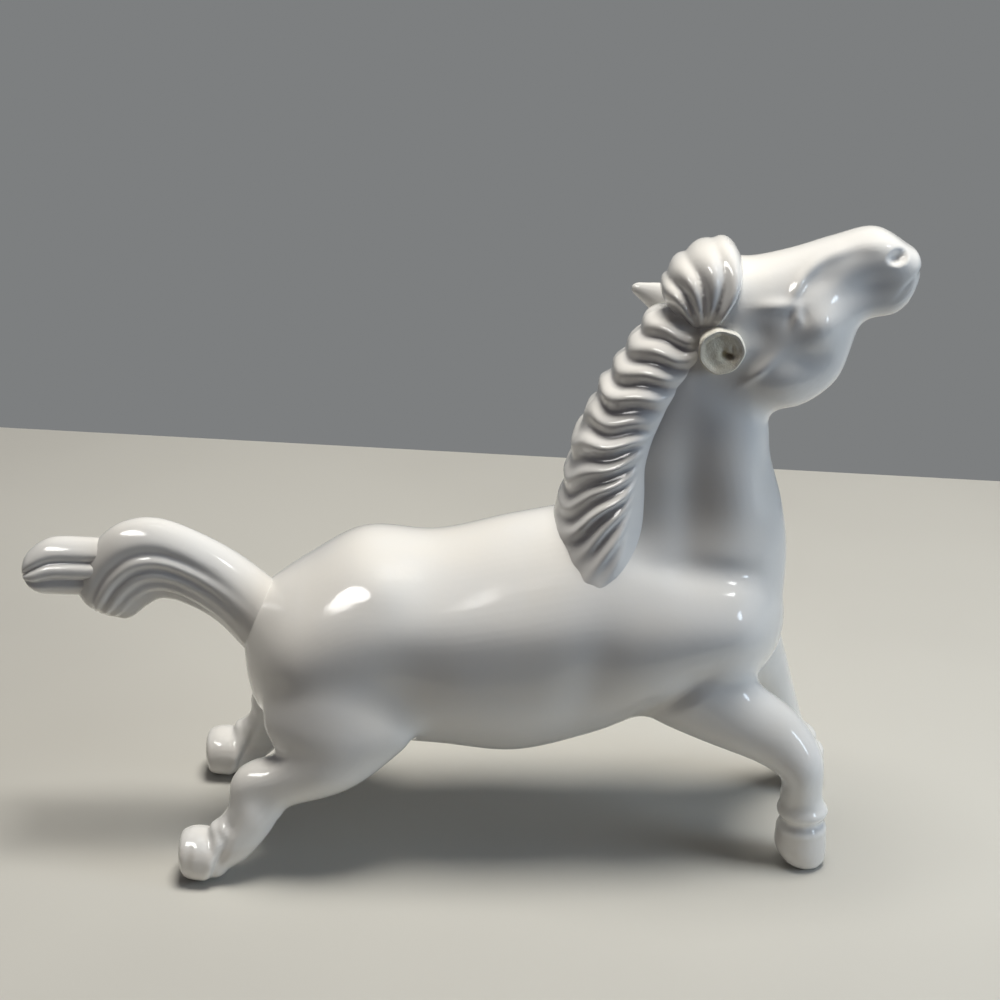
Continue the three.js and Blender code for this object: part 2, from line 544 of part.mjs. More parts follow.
// Hollow shell of the head, open to the neck, with its nostrils, eyes and mouth pressed in
function headShell() {
  const muzzle = headKeys[5];
  const lips = headKeys.at(-1);
  const gaze = { x: poll.x + HEAD_LENGTH * 0.395, z: poll.z + JOWL_DEPTH * 0.14 };
  const nostril = { x: muzzle.x + MUZZLE_DEPTH * 0.12, z: muzzle.z + MUZZLE_DEPTH * 0.3 };
  const ball = (radius) => new THREE.SphereGeometry(radius, 12, 8);
  const eye = (grow) => ball(1).scale(EYE_LENGTH / 2 + grow, EYE_HEIGHT / 2 + grow, EYE_HEIGHT / 2 + grow);
  const slit = new THREE.CylinderGeometry(MOUTH_LENGTH, MOUTH_LENGTH, MUZZLE_WIDTH * 2, 20);
  const mouth = slit.scale(1, 1, MOUTH_OPENING / MOUTH_LENGTH / 2);
  const cuts = [moved(mouth, lips.x, 0, lips.z - MUZZLE_DEPTH * 0.15)];
  const eyes = [];
  for (const side of [-1, 1]) {
    const cheek = (side * JOWL_WIDTH) / 2;
    cuts.push(moved(ball(NOSTRIL_DIAMETER / 2), nostril.x, side * MUZZLE_WIDTH * 0.42, nostril.z));
    cuts.push(moved(eye(EYE_HEIGHT * 0.15), gaze.x, cheek, gaze.z));
    eyes.push(moved(eye(0), gaze.x, cheek * 0.83, gaze.z));
  }
  const carved = trim(head(), ...cuts);
  const sighted = eyes.reduce((whole, one) => whole.add(one), carved);
  return trim(sighted, headBore(), neckBore());
}

const maneRoll = () => trim(mane(), body(LUTE_GAP), neck(LUTE_GAP), head(LUTE_GAP));
const forelockTuft = () => trim(forelock(), head(LUTE_GAP), neck(LUTE_GAP), mane(LUTE_GAP));

const leftEar = () => {
  const ear = solid(loft(earKeys(1), { rings: 12, sides: 18, roundEnd: 0.1, relief: earRelief }));
  return trim(ear, head(LUTE_GAP), neck(LUTE_GAP), mane(LUTE_GAP), forelock(LUTE_GAP));
};

// What a break has left of the right ear: a low stub with a pit in its bare face
function rightEarStub() {
  const root = earKeys(-1)[0];
  const bareFace = -headKeys[1].width / 2 - STUB_HEIGHT;
  const length = JOWL_WIDTH / 2;
  const cone = new THREE.CylinderGeometry(EAR_DIAMETER * 0.55, EAR_DIAMETER / 2, length, 20);
  const stub = moved(cone, root.x, bareFace + length / 2, root.z);
  const hollow = new THREE.SphereGeometry(PIT_DIAMETER / 2, 12, 8);
  const pit = moved(hollow, root.x + PIT_DIAMETER * 0.4, bareFace, root.z - PIT_DIAMETER * 0.25);
  return trim(stub, pit, head(LUTE_GAP), neck(LUTE_GAP), mane(LUTE_GAP), forelock(LUTE_GAP));
}

const foreleg = (side) => {
  const leg = solid(loft(forelegKeys(side), { rings: 26, sides: 14 }));
  return trim(leg, body(LUTE_GAP), neck(LUTE_GAP));
};
const hindLeg = (side) => {
  const leg = solid(loft(hindLegKeys(side), { rings: 26, sides: 14, roundEnd: 0.04 }));
  return trim(leg, body(LUTE_GAP), table());
};
const tailSwitch = () => trim(tail(), body(LUTE_GAP));
const tailTip = () => trim(tip(), tail(LUTE_GAP), body(LUTE_GAP));

const figurine = new THREE.Group();
figurine.add(
  casting("body_shell", bodyShell(), glaze),
  casting("neck_shell", neckShell(), glaze),
  casting("head_shell", headShell(), glaze),
  casting("mane", maneRoll(), glaze),
  casting("forelock", forelockTuft(), glaze),
  casting("left_ear", leftEar(), glaze),
  casting("right_ear_stub", rightEarStub(), bisque),
  casting("left_foreleg", foreleg(1), glaze),
  casting("right_foreleg", foreleg(-1), glaze),
  casting("left_hind_leg", hindLeg(1), glaze),
  casting("right_hind_leg", hindLeg(-1), glaze),
  casting("tail", tailSwitch(), glaze),
  casting("tail_tip", tailTip(), glaze),
);

// The figurine stands on the table at z = 0, with the middle of its length and width at the origin.
const box = new THREE.Box3().setFromObject(figurine);
const middle = box.getCenter(new THREE.Vector3());
figurine.position.set(-middle.x, -middle.y, -box.min.z);
const root = new THREE.Group().add(figurine);

export default root;
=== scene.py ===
"""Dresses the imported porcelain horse: soft glazed skin, rolled hair, a broken ear and a plain studio.

The trunk, neck, head and legs are lofted on their own, then luted into one soft skin and parted again
along their seams, so that the light runs over the joins as it does on fired ware. All sizes here are
millimetres with the buttock at x = 0, +X to the head, +Y to the horse's left and +Z up; a piece is
carried into the frame, in metres, when its mesh is made.
"""

import logging
import math
from dataclasses import dataclass, field
from enum import Enum
from typing import Any, Callable, Sequence

import bpy
import numpy as np
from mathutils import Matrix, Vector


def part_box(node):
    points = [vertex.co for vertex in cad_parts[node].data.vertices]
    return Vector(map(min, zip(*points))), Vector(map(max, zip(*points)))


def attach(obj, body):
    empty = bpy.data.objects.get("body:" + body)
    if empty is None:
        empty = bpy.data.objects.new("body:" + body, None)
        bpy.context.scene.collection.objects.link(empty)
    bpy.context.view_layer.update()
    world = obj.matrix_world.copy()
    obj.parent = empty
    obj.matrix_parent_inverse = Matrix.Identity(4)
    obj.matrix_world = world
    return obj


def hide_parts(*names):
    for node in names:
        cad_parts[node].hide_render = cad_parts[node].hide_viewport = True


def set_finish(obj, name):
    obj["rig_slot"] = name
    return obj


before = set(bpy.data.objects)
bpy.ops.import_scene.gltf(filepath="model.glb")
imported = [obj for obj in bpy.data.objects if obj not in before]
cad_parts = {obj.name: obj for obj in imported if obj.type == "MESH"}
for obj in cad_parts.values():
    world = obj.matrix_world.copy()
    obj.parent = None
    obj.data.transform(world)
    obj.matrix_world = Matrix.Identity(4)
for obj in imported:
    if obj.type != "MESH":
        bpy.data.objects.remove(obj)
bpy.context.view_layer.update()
MM = 0.001
ORIGIN = np.array([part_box("body_shell")[0].x / MM, 0.0, 0.0])

log = logging.getLogger("horse")

Array = np.ndarray
Colour = tuple[float, float, float, float]
Relief = Callable[[Array, Array], Array]


class Side(Enum):
    """The horse's two sides, by the sign of Y."""

    LEFT = 1
    RIGHT = -1


# Surfaces


@dataclass(frozen=True)
class Section:
    """A key section of a casting: an ellipse in the plane of Y and of a depth axis.

    The depth axis leans from +Z towards +X by lean degrees, and egg widens its far end.
    """

    x: float
    z: float
    lean: float
    depth: float
    width: float
    egg: float = 0.0
    y: float = 0.0

    def row(self) -> list[float]:
        """The section as a row of numbers."""
        return [self.x, self.y, self.z, self.lean, self.depth, self.width, self.egg]


class Run:
    """A smooth run through rows of numbers: 0 is the first row and 1 the last."""

    def __init__(self, rows: Array) -> None:
        """Keeps the rows, with one more past each end in line with the last two.

        Args:
            rows: the numbers to run through, one row for each key.
        """
        self.spans = len(rows) - 1
        self.rows = np.vstack([2 * rows[0] - rows[1], rows, 2 * rows[-1] - rows[-2]])

    @staticmethod
    def through(keys: Sequence[Section]) -> "Run":
        """A run through key sections."""
        return Run(np.array([key.row() for key in keys]))

    def at(self, t: Array) -> Array:
        """Rows along the run, by a cubic whose slope at a key is half the step between its neighbours.

        Args:
            t: places from 0 to 1.

        Returns:
            One row for each place.
        """
        place = np.clip(t, 0, 1) * self.spans
        left = np.minimum(place.astype(int), self.spans - 1)
        u = (place - left)[:, None]
        a, b, c, d = (self.rows[left + k] for k in range(4))
        return b + u / 2 * (c - a + u * (2 * a - 5 * b + 4 * c - d + u * (3 * (b - c) + d - a)))


@dataclass
class Shape:
    """A closed skin of triangles, in millimetres."""

    points: Array
    faces: Array

    @property
    def edges(self) -> Array:
        """Each pair of joined points, once."""
        return np.unique(np.sort(ways_of(self.faces), axis=1), axis=0)

    @staticmethod
    def joined(shapes: Sequence["Shape"]) -> "Shape":
        """The shapes as one set of points and faces.

        Args:
            shapes: skins, kept as they are.

        Returns:
            The set.
        """
        starts = np.cumsum([0] + [len(s.points) for s in shapes[:-1]])
        faces = [s.faces + start for s, start in zip(shapes, starts)]
        return Shape(np.vstack([s.points for s in shapes]), np.vstack(faces))

    def normals(self) -> Array:
        """Point normals: the sum of the area vectors of the faces round a point, at unit length.

        Returns:
            One row for each point.
        """
        a, b, c = (self.points[self.faces[:, k]] for k in range(3))
        area = np.cross(b - a, c - a)
        corner = self.faces.ravel()
        total = [gathered(corner, np.repeat(area[:, k], 3), len(self.points)) for k in range(3)]
        return unit(np.stack(total, 1))


def gathered(index: Array, values: Array, count: int) -> Array:
    """Sums of the values that share an index."""
    return np.bincount(index, values, count)


def unit(rows: Array) -> Array:
    """The rows at unit length."""
    return rows / np.maximum(np.linalg.norm(rows, axis=1, keepdims=True), 1e-12)


def ways_of(faces: Array) -> Array:
    """The directed edges of triangles: all first ones, then all second and all third ones."""
    return np.concatenate([faces[:, [0, 1]], faces[:, [1, 2]], faces[:, [2, 0]]])


def tube(grid: Array, start: Array, end: Array) -> Shape:
    """Closes a grid of rings into a skin: quads between rings, and a fan to a pole at each end.

    Args:
        grid: points, as rings by sides by 3.
        start: pole of the first ring.
        end: pole of the last ring.

    Returns:
        The closed skin, facing outwards.
    """
    rings, sides, _ = grid.shape
    ids = np.arange(rings * sides).reshape(rings, sides)
    ahead = np.roll(ids, -1, axis=1)
    a, b, c, d = ids[:-1], ahead[:-1], ahead[1:], ids[1:]
    first, last = rings * sides, rings * sides + 1
    faces = [
        np.stack([a, b, c], -1).reshape(-1, 3),
        np.stack([a, c, d], -1).reshape(-1, 3),
        np.stack([np.full(sides, first), ahead[0], ids[0]], -1),
        np.stack([np.full(sides, last), ids[-1], ahead[-1]], -1),
    ]
    shape = Shape(np.vstack([grid.reshape(-1, 3), start, end]), np.vstack(faces))
    corners = shape.points[shape.faces]
    volume = np.einsum("ij,ij->i", corners[:, 0], np.cross(corners[:, 1], corners[:, 2])).sum()
    return shape if volume > 0 else Shape(shape.points, shape.faces[:, ::-1])


def fullness(t: Array, share: float) -> Array:
    """How full a section is near a rounded end: a quarter ellipse over a share of the run.

    Args:
        t: places along the run, from that end.
        share: how much of the run is rounded.

    Returns:
        Shares of the full section.
    """
    if share <= 0:
        return np.ones_like(t)
    near = np.clip(t / share, 0, 1)
    return np.maximum(np.sqrt(1 - (1 - near) ** 2), 0.02)


def loft(keys: Sequence[Section], rings: int, sides: int, start: float = 0, end: float = 0,
         square: float = 1, relief: Relief | None = None) -> Shape:
    """The skin of a casting, lofted through its key sections.

    At place t and angle a, the width axis takes cos(a) of half the width and the depth axis sin(a) of
    half the depth, each to the power square, and relief(t, a) stands out from both. Angle 0 is the
    left side, and a quarter turn is the end of the depth axis.

    Args:
        keys: sections to run through.
        rings: steps along the run, closer together at its ends.
        sides: steps round a section.
        start: share of the run over which its start is rounded.
        end: share of the run over which its end is rounded.
        square: 1 for an ellipse, less for a boxier section.
        relief: height that stands out from the section, or None.

    Returns:
        The closed skin.
    """
    t = (1 - np.cos(np.linspace(0, np.pi, rings + 1))) / 2
    run = Run.through(keys)
    x, y, z, lean, depth, width, egg = run.at(t).T[:, :, None]
    full = (fullness(t, start) * fullness(1 - t, end))[:, None]
    angle = np.linspace(0, 2 * np.pi, sides, endpoint=False)[None]
    swell = full * relief(t[:, None], angle) if relief else 0
    cosine, sine = (np.sign(v) * np.abs(v) ** square for v in (np.cos(angle), np.sin(angle)))
    across = cosine * (1 + egg * sine) * (full * width / 2 + swell)
    along = sine * (full * depth / 2 + swell)
    lean = np.radians(lean)
    place = (x + along * np.sin(lean), y + across, z + along * np.cos(lean))
    grid = np.stack(np.broadcast_arrays(*place), -1)
    poles = run.at(np.array([0.0, 1.0]))[:, :3]
    return tube(grid, poles[0], poles[1])


def ridges(phase: Array, sharp: Array | float) -> Array:
    """A row of ridges one phase apart: 1 on a crest and 0 in a groove.

    Args:
        phase: place in the row, whole on a crest.
        sharp: over 1 the crests are narrow, under 1 the grooves are.

    Returns:
        Heights from 0 to 1.
    """
    return (0.5 + 0.5 * np.cos(2 * np.pi * phase)) ** sharp


def step(value: Array, low: float, high: float) -> Array:
    """0 below low, 1 above high, and a smooth step between."""
    share = np.clip((value - low) / (high - low), 0, 1)
    return share * share * (3 - 2 * share)


def fused(shapes: Sequence[Shape], pitch: float) -> Shape:
    """One skin round overlapping solids, by a voxel remesh.

    Args:
        shapes: closed skins.
        pitch: voxel size.

    Returns:
        The outer skin of them all.
    """
    whole = Shape.joined(shapes)
    worker = placed("luting", mesh_of("luting", whole.points, whole.faces))
    union = worker.modifiers.new("union", "REMESH")
    union.mode = "VOXEL"
    union.voxel_size = pitch
    evaluated = worker.evaluated_get(bpy.context.evaluated_depsgraph_get())
    made = evaluated.to_mesh()
    made.calc_loop_triangles()
    points = np.empty(len(made.vertices) * 3)
    made.vertices.foreach_get("co", points)
    faces = np.empty(len(made.loop_triangles) * 3, np.int32)
    made.loop_triangles.foreach_get("vertices", faces)
    evaluated.to_mesh_clear()
    scrap = worker.data
    bpy.data.objects.remove(worker)
    bpy.data.meshes.remove(scrap)
    return Shape(points.reshape(-1, 3), faces.reshape(-1, 3))


def relaxed(values: Array, edges: Array, weight: Array | float, rounds: int) -> Array:
    """Smooths values over a skin: each round moves a point by its weight towards its neighbours' mean.

    Args:
        values: one row for each point.
        edges: pairs of neighbours.
        weight: share of the way to move, for each point or for all.
        rounds: how often.

    Returns:
        The smoothed rows.
    """
    count = len(values)
    here = np.concatenate([edges[:, 0], edges[:, 1]])
    there = np.concatenate([edges[:, 1], edges[:, 0]])
    share = np.broadcast_to(weight, count) / np.maximum(np.bincount(here, minlength=count), 1)
    keep = 1 - np.broadcast_to(weight, count)
    rows = values.reshape(count, -1).T.copy()
    for _ in range(rounds):
        rows = np.stack([keep * row + share * gathered(here, row[there], count) for row in rows])
    return rows.T.reshape(values.shape)


def fair(shape: Shape, rounds: int) -> Shape:
    """Takes the voxel steps out of a skin and keeps its size, by smoothing forth and back.

    Args:
        shape: the skin.
        rounds: how often.

    Returns:
        The fair skin.
    """
    edges = shape.edges
    points = shape.points
    for _ in range(rounds):
        points = relaxed(relaxed(points, edges, 0.5, 1), edges, -0.52, 1)
    return Shape(points, shape.faces)


def hollowness(shape: Shape, rounds: int) -> Array:
    """How hollow the skin is: the height of the neighbours' mean over a point, in mm, spread a little.

    Args:
        shape: the skin.
        rounds: smoothing rounds for the normals' field and the result.

    Returns:
        One number for each point, above 0 in a hollow and below 0 on a ridge.
    """
    edges = shape.edges
    drift = relaxed(shape.points, edges, 1.0, 2) - shape.points
    return relaxed(np.einsum("ij,ij->i", drift, shape.normals()), edges, 0.6, rounds)


@dataclass(frozen=True)
class Stroke:
    """A push of the modelling tool, the same on both sides: a bell-shaped bump or hollow."""

    at: tuple[float, float, float]
    reach: tuple[float, float, float]
    push: float
    turn: float = 0.0
    crisp: float = 1.0

    def height(self, points: Array) -> Array:
        """The push at points, which falls off as exp(-(r^2)^crisp).

        The distance r is counted in reaches, whose first and last axes are turned in the side view.

        Args:
            points: places on the skin.

        Returns:
            One height for each point.
        """
        away = np.stack([points[:, 0], np.abs(points[:, 1]), points[:, 2]], 1) - self.at
        cosine, sine = math.cos(math.radians(self.turn)), math.sin(math.radians(self.turn))
        along = cosine * away[:, 0] + sine * away[:, 2]
        rise = cosine * away[:, 2] - sine * away[:, 0]
        distance = np.stack([along, away[:, 1], rise], 1) / self.reach
        return self.push * np.exp(-(distance ** 2).sum(1) ** self.crisp)


def modelled(shape: Shape, strokes: Sequence[Stroke]) -> Shape:
    """The skin after a row of strokes, each along the normals.

    Args:
        shape: the skin before.
        strokes: pushes, in their order.

    Returns:
        The skin, smoothed a little.
    """
    points, edges = shape.points, shape.edges
    for stroke in strokes:
        normals = Shape(points, shape.faces).normals()
        points = points + stroke.height(points)[:, None] * normals
    return Shape(relaxed(points, edges, 0.3, 2), shape.faces)


# Meshes and pieces


def mesh_of(name: str, points: Array, faces: Array) -> bpy.types.Mesh:
    """A Blender mesh of triangles, smooth shaded.

    Args:
        name: the mesh's name.
        points: corners, one row each.
        faces: triangles, as rows of corner numbers.

    Returns:
        The mesh.
    """
    mesh = bpy.data.meshes.new(name)
    mesh.vertices.add(len(points))
    mesh.vertices.foreach_set("co", np.ascontiguousarray(points, np.float32).ravel())
    mesh.loops.add(faces.size)
    mesh.loops.foreach_set("vertex_index", np.ascontiguousarray(faces, np.int32).ravel())
    mesh.polygons.add(len(faces))
    mesh.polygons.foreach_set("loop_start", np.arange(0, faces.size, 3, dtype=np.int32))
    mesh.update(calc_edges=True)
    mesh.shade_smooth()
    return mesh


def placed(name: str, data: bpy.types.ID) -> bpy.types.Object:
    """A new object in the scene.

    Args:
        name: its name.
        data: its mesh, lamp or camera.

    Returns:
        The object.
    """
    made = bpy.data.objects.new(name, data)
    bpy.context.scene.collection.objects.link(made)
    return made


def piece_of(node: str, shape: Shape, slot: str, masks: dict[str, Array] | None = None,
             corners: Array | None = None) -> bpy.types.Object:
    """Makes the piece that stands for a CAD node, in the frame and in metres.

    Args:
        node: the node that the piece replaces, and is named after.
        shape: its skin.
        slot: the record's material slot.
        masks: numbers on the points that the finish reads, by name.
        corners: normals of the face corners, or None for the mesh's own.

    Returns:
        The piece.
    """
    mesh = mesh_of(f"{node}_skin", (shape.points + ORIGIN) * MM, shape.faces)
    for name, values in (masks or {}).items():
        layer = mesh.attributes.new(name, "FLOAT", "POINT")
        layer.data.foreach_set("value", np.ascontiguousarray(values, np.float32))
    if corners is not None:
        mesh.normals_split_custom_set(corners.reshape(-1, 3))
    piece = placed(f"{node}_skin", mesh)
    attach(piece, "root")
    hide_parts(node)
    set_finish(piece, slot)
    return piece


def glazed(node: str, shape: Shape, rounds: int, deepest: float) -> bpy.types.Object:
    """A glazed piece whose hollows are masked, smoothed for some rounds, with the deepest at 1."""
    return piece_of(node, shape, "glaze", {"hollow": hollowness(shape, rounds) / deepest})


# Finishes


class Wire:
    """A shader socket that Python expressions can be written with."""

    def __init__(self, tree: "Tree", socket: bpy.types.NodeSocket | None) -> None:
        """Keeps the socket, None after a last node, and the tree that it is in."""
        self.tree = tree
        self.socket = socket

    def _maths(self, operation: str, first: Any, second: Any) -> "Wire":
        """Adds a Math node for two values or wires."""
        return self.tree.node("ShaderNodeMath", {"operation": operation}, {0: first, 1: second})

    def __add__(self, other: Any) -> "Wire":
        """This plus the other."""
        return self._maths("ADD", self, other)

    __radd__ = __add__

    def __rsub__(self, other: Any) -> "Wire":
        """The other less this."""
        return self._maths("SUBTRACT", other, self)

    def __mul__(self, other: Any) -> "Wire":
        """This times the other."""
        return self._maths("MULTIPLY", self, other)

    __rmul__ = __mul__

    def ramp(self, low: float, high: float) -> "Wire":
        """0 below low, 1 above high, and a smooth step between."""
        values = {0: self, 1: low, 2: high, 3: 0.0, 4: 1.0}
        return self.tree.node("ShaderNodeMapRange", {"interpolation_type": "SMOOTHSTEP"}, values)


class Tree:
    """The node tree of a material or of the world."""

    def __init__(self, owner: bpy.types.Material | bpy.types.World) -> None:
        """Empties the owner's tree.

        Args:
            owner: what the tree is for.
        """
        owner.use_nodes = True
        self.owner = owner
        self.nodes = owner.node_tree.nodes
        self.links = owner.node_tree.links
        self.nodes.clear()

    def node(self, kind: str, settings: dict[str, Any] | None = None,
             sockets: dict[Any, Any] | None = None, out: Any = 0) -> Wire:
        """Adds a node.

        Args:
            kind: the node's type.
            settings: its own settings, set first.
            sockets: values or wires of its inputs, by name or number.
            out: the output to return, by name or number.

        Returns:
            The output, as a wire without a socket where the node has none.
        """
        made = self.nodes.new(kind)
        for key, value in (settings or {}).items():
            setattr(made, key, value)
        for key, value in (sockets or {}).items():
            if isinstance(value, Wire):
                self.links.new(value.socket, made.inputs[key])
            else:
                made.inputs[key].default_value = value
        return Wire(self, made.outputs[out] if made.outputs else None)

    def mask(self, name: str) -> Wire:
        """The numbers of that name on the piece's points."""
        return self.node("ShaderNodeAttribute", {"attribute_name": name}, out="Fac")

    def noise(self, scale: float, detail: float = 2.0, rough: float = 0.5) -> Wire:
        """Cloudy numbers round 0.5 in space, with features of about 1 / scale metres.

        Args:
            scale: how fine the clouds are.
            detail: how many finer layers they have.
            rough: how strong the finer layers are.

        Returns:
            The numbers.
        """
        place = self.node("ShaderNodeTexCoord", out="Object")
        sockets = {"Vector": place, "Scale": scale, "Detail": detail, "Roughness": rough}
        return self.node("ShaderNodeTexNoise", None, sockets)

    def blend(self, share: Wire, first: Any, second: Any) -> Wire:
        """A colour from first to second by share."""
        return self.node("ShaderNodeMix", {"data_type": "RGBA"}, {0: share, 6: first, 7: second}, out=2)

    def bump(self, strength: float, distance: float, height: Wire) -> Wire:
        """A normal that is roughened by height, in metres of distance."""
        sockets = {"Strength": strength, "Distance": distance, "Height": height}
        return self.node("ShaderNodeBump", None, sockets)

    def surface(self, sockets: dict[str, Any]) -> bpy.types.Material:
        """Ends the tree in a Principled shader with these sockets.

        Args:
            sockets: values or wires, by name.

        Returns:
            The material.
        """
        shader = self.node("ShaderNodeBsdfPrincipled", None, sockets)
        self.node("ShaderNodeOutputMaterial", None, {"Surface": shader})
        return self.owner


def tint(red: float, green: float, blue: float) -> Colour:
    """A colour with full alpha."""
    return (red, green, blue, 1.0)


@dataclass(frozen=True)
class Glaze:
    """Clear glossy glaze over white porcelain, greyed in its hollows by painted shade and a little pooled
    glaze, and dull on the hooves.
    """

    white: Colour = tint(0.84, 0.835, 0.815)
    warm: Colour = tint(0.86, 0.84, 0.795)
    hollow_shade: Colour = tint(0.66, 0.65, 0.66)
    hoof: Colour = tint(0.78, 0.745, 0.70)
    cloud_scale: float = 45
    ripple_scale: float = 420
    hollow_shade_share: float = 0.4
    gloss: float = 0.10
    coat: float = 0.35
    coat_gloss: float = 0.03

    def material(self) -> bpy.types.Material:
        """The glaze as a material.

        Clouds warm its white, the hollows are greyed by painted shade and a little pooled glaze, and the
        hooves are worn in a fine ripple. The gloss is a little less in all three, and the ripple is a faint
        bump.

        Returns:
            The material.
        """
        tree = Tree(bpy.data.materials.new("white_glaze"))
        clouds = tree.noise(self.cloud_scale, 3)
        ripple = tree.noise(self.ripple_scale, 2)
        shaded_hollows = tree.mask("hollow").ramp(0.02, 0.30)
        hoof = tree.mask("hoof")
        body = tree.blend(clouds.ramp(0.35, 0.7), self.white, self.warm)
        # Painted shade: the hollows are blended towards grey, the deeper the greyer, with a little of it the
        # glaze that pools there.
        body = tree.blend(shaded_hollows * self.hollow_shade_share, body, self.hollow_shade)
        body = tree.blend(hoof * (0.45 + 0.4 * ripple), body, self.hoof)
        rough = self.gloss + 0.05 * clouds + 0.10 * shaded_hollows + 0.14 * hoof
        return tree.surface({
            "Base Color": body, "Roughness": rough, "Normal": tree.bump(0.05, 0.0004, ripple),
            "IOR": 1.5, "Coat Weight": self.coat, "Coat Roughness": self.coat_gloss,
        })


@dataclass(frozen=True)
class Bisque:
    """Bare broken porcelain: matt cream, a pale glazed rim and a dark stained pit."""

    cream: Colour = tint(0.92, 0.875, 0.72)
    dusty: Colour = tint(0.82, 0.76, 0.59)
    rim: Colour = tint(0.92, 0.895, 0.81)
    stain: Colour = tint(0.42, 0.34, 0.20)
    cloud_scale: float = 380
    grain_scale: float = 2600

    def material(self) -> bpy.types.Material:
        """The bisque as a material: mottled by clouds, rough by their grain, stained in the pit.

        Returns:
            The material.
        """
        tree = Tree(bpy.data.materials.new("broken_bisque"))
        clouds = tree.noise(self.cloud_scale, 4, 0.6)
        grain = tree.noise(self.grain_scale, 3, 0.6)
        face = tree.blend(clouds.ramp(0.35, 0.68), self.cream, self.dusty)
        rim = tree.mask("rim")
        face = tree.blend(rim, face, self.rim)
        pit = tree.mask("pit")
        face = tree.blend((pit * (0.2 + 1.4 * clouds)).ramp(0.25, 0.95), face, self.stain)
        rough = 0.85 - 0.55 * rim
        bump = tree.bump(0.5, 0.0006, clouds * 0.6 + grain * 0.4)
        return tree.surface({"Base Color": face, "Roughness": rough, "Normal": bump, "IOR": 1.5})


@dataclass(frozen=True)
class TableTop:
    """A plain pale table top."""

    pale: Colour = tint(0.60, 0.59, 0.545)
    shade: Colour = tint(0.55, 0.54, 0.50)
    cloud_scale: float = 4

    def material(self) -> bpy.types.Material:
        """The table as a material: two close tints in wide clouds.

        Returns:
            The material.
        """
        tree = Tree(bpy.data.materials.new("pale_table"))
        clouds = tree.noise(self.cloud_scale, 3)
        colour = tree.blend(clouds.ramp(0.4, 0.65), self.pale, self.shade)
        return tree.surface({"Base Color": colour, "Roughness": 0.45 + 0.1 * clouds})


# The castings


@dataclass
class Trunk:
    """The barrel of the horse, from buttock to breast."""

    length: float = 122.6
    height: float = 50.3
    barrel_depth: float = 56
    barrel_width: float = 46
    loin_depth: float = 50
    croup_depth: float = 49
    croup_width: float = 45
    breast_depth: float = 41
    breast_width: float = 39
    round_start: float = 0.15
    round_end: float = 0.11
    square: float = 1.0

    def keys(self) -> list[Section]:
        """Key sections, upright, from the buttock forwards.

        Returns:
            The sections.
        """
        middle = (self.croup_width + self.barrel_width) / 2
        rows = [
            (0, 0.86, self.croup_depth * 0.76, self.croup_width * 0.78),
            (0.095, 0.93, self.croup_depth * 0.8, self.croup_width * 0.92),
            (0.218, 1, self.croup_depth, self.croup_width),
            (0.358, 0.98, self.loin_depth, middle),
            (0.5, 1, self.barrel_depth, self.barrel_width),
            (0.64, 1.07, self.barrel_depth * 0.97, self.barrel_width),
            (0.745, 1.11, self.barrel_depth * 0.84, self.barrel_width * 0.95),
            (0.87, 1.12, self.breast_depth, self.breast_width),
            (1, 1.12, self.breast_depth * 0.85, self.breast_width * 0.8),
        ]
        return [Section(self.length * at, self.height * up, 0, deep, wide) for at, up, deep, wide in rows]

    def skin(self) -> Shape:
        """The trunk's own skin."""
        return loft(self.keys(), rings=110, sides=90, start=self.round_start, end=self.round_end,
                    square=self.square)

    def strokes(self) -> list[Stroke]:
        """Muscles and hollows: shoulder, breast, flank, haunch, and the clefts of breast and rump.

        Returns:
            The strokes.
        """
        return [
            # Shoulder
            Stroke((94, 19, 54), (10, 12, 17), 1.5, -20),
            # Breast muscle, the fold over the forearm and the cleft of the breast
            Stroke((107, 17, 59), (11, 10, 9), 2.0),
            Stroke((108, 17, 46.5), (12, 8, 3.5), -0.9, -12),
            Stroke((123, 0, 56), (6, 3.5, 13), -1.1),
            # Upper flank, the hollow behind the shoulder and the hollow of the flank
            Stroke((55, 20.5, 60), (34, 8, 7), 0.9),
            Stroke((78, 22, 50), (6, 10, 15), -0.9, -12),
            Stroke((37, 22, 47), (9, 10, 11), -1.1),
            # Haunch and point of the hip
            Stroke((15, 22, 51), (13, 12, 13), 1.3),
            Stroke((32, 16, 69), (6, 6, 5), 0.7),
            # Root of the tail and cleft of the rump
            Stroke((1, 0, 57), (7, 8.5, 9), 2.9),
            Stroke((-1, 0, 40), (5, 3, 10), -1.2),
        ]


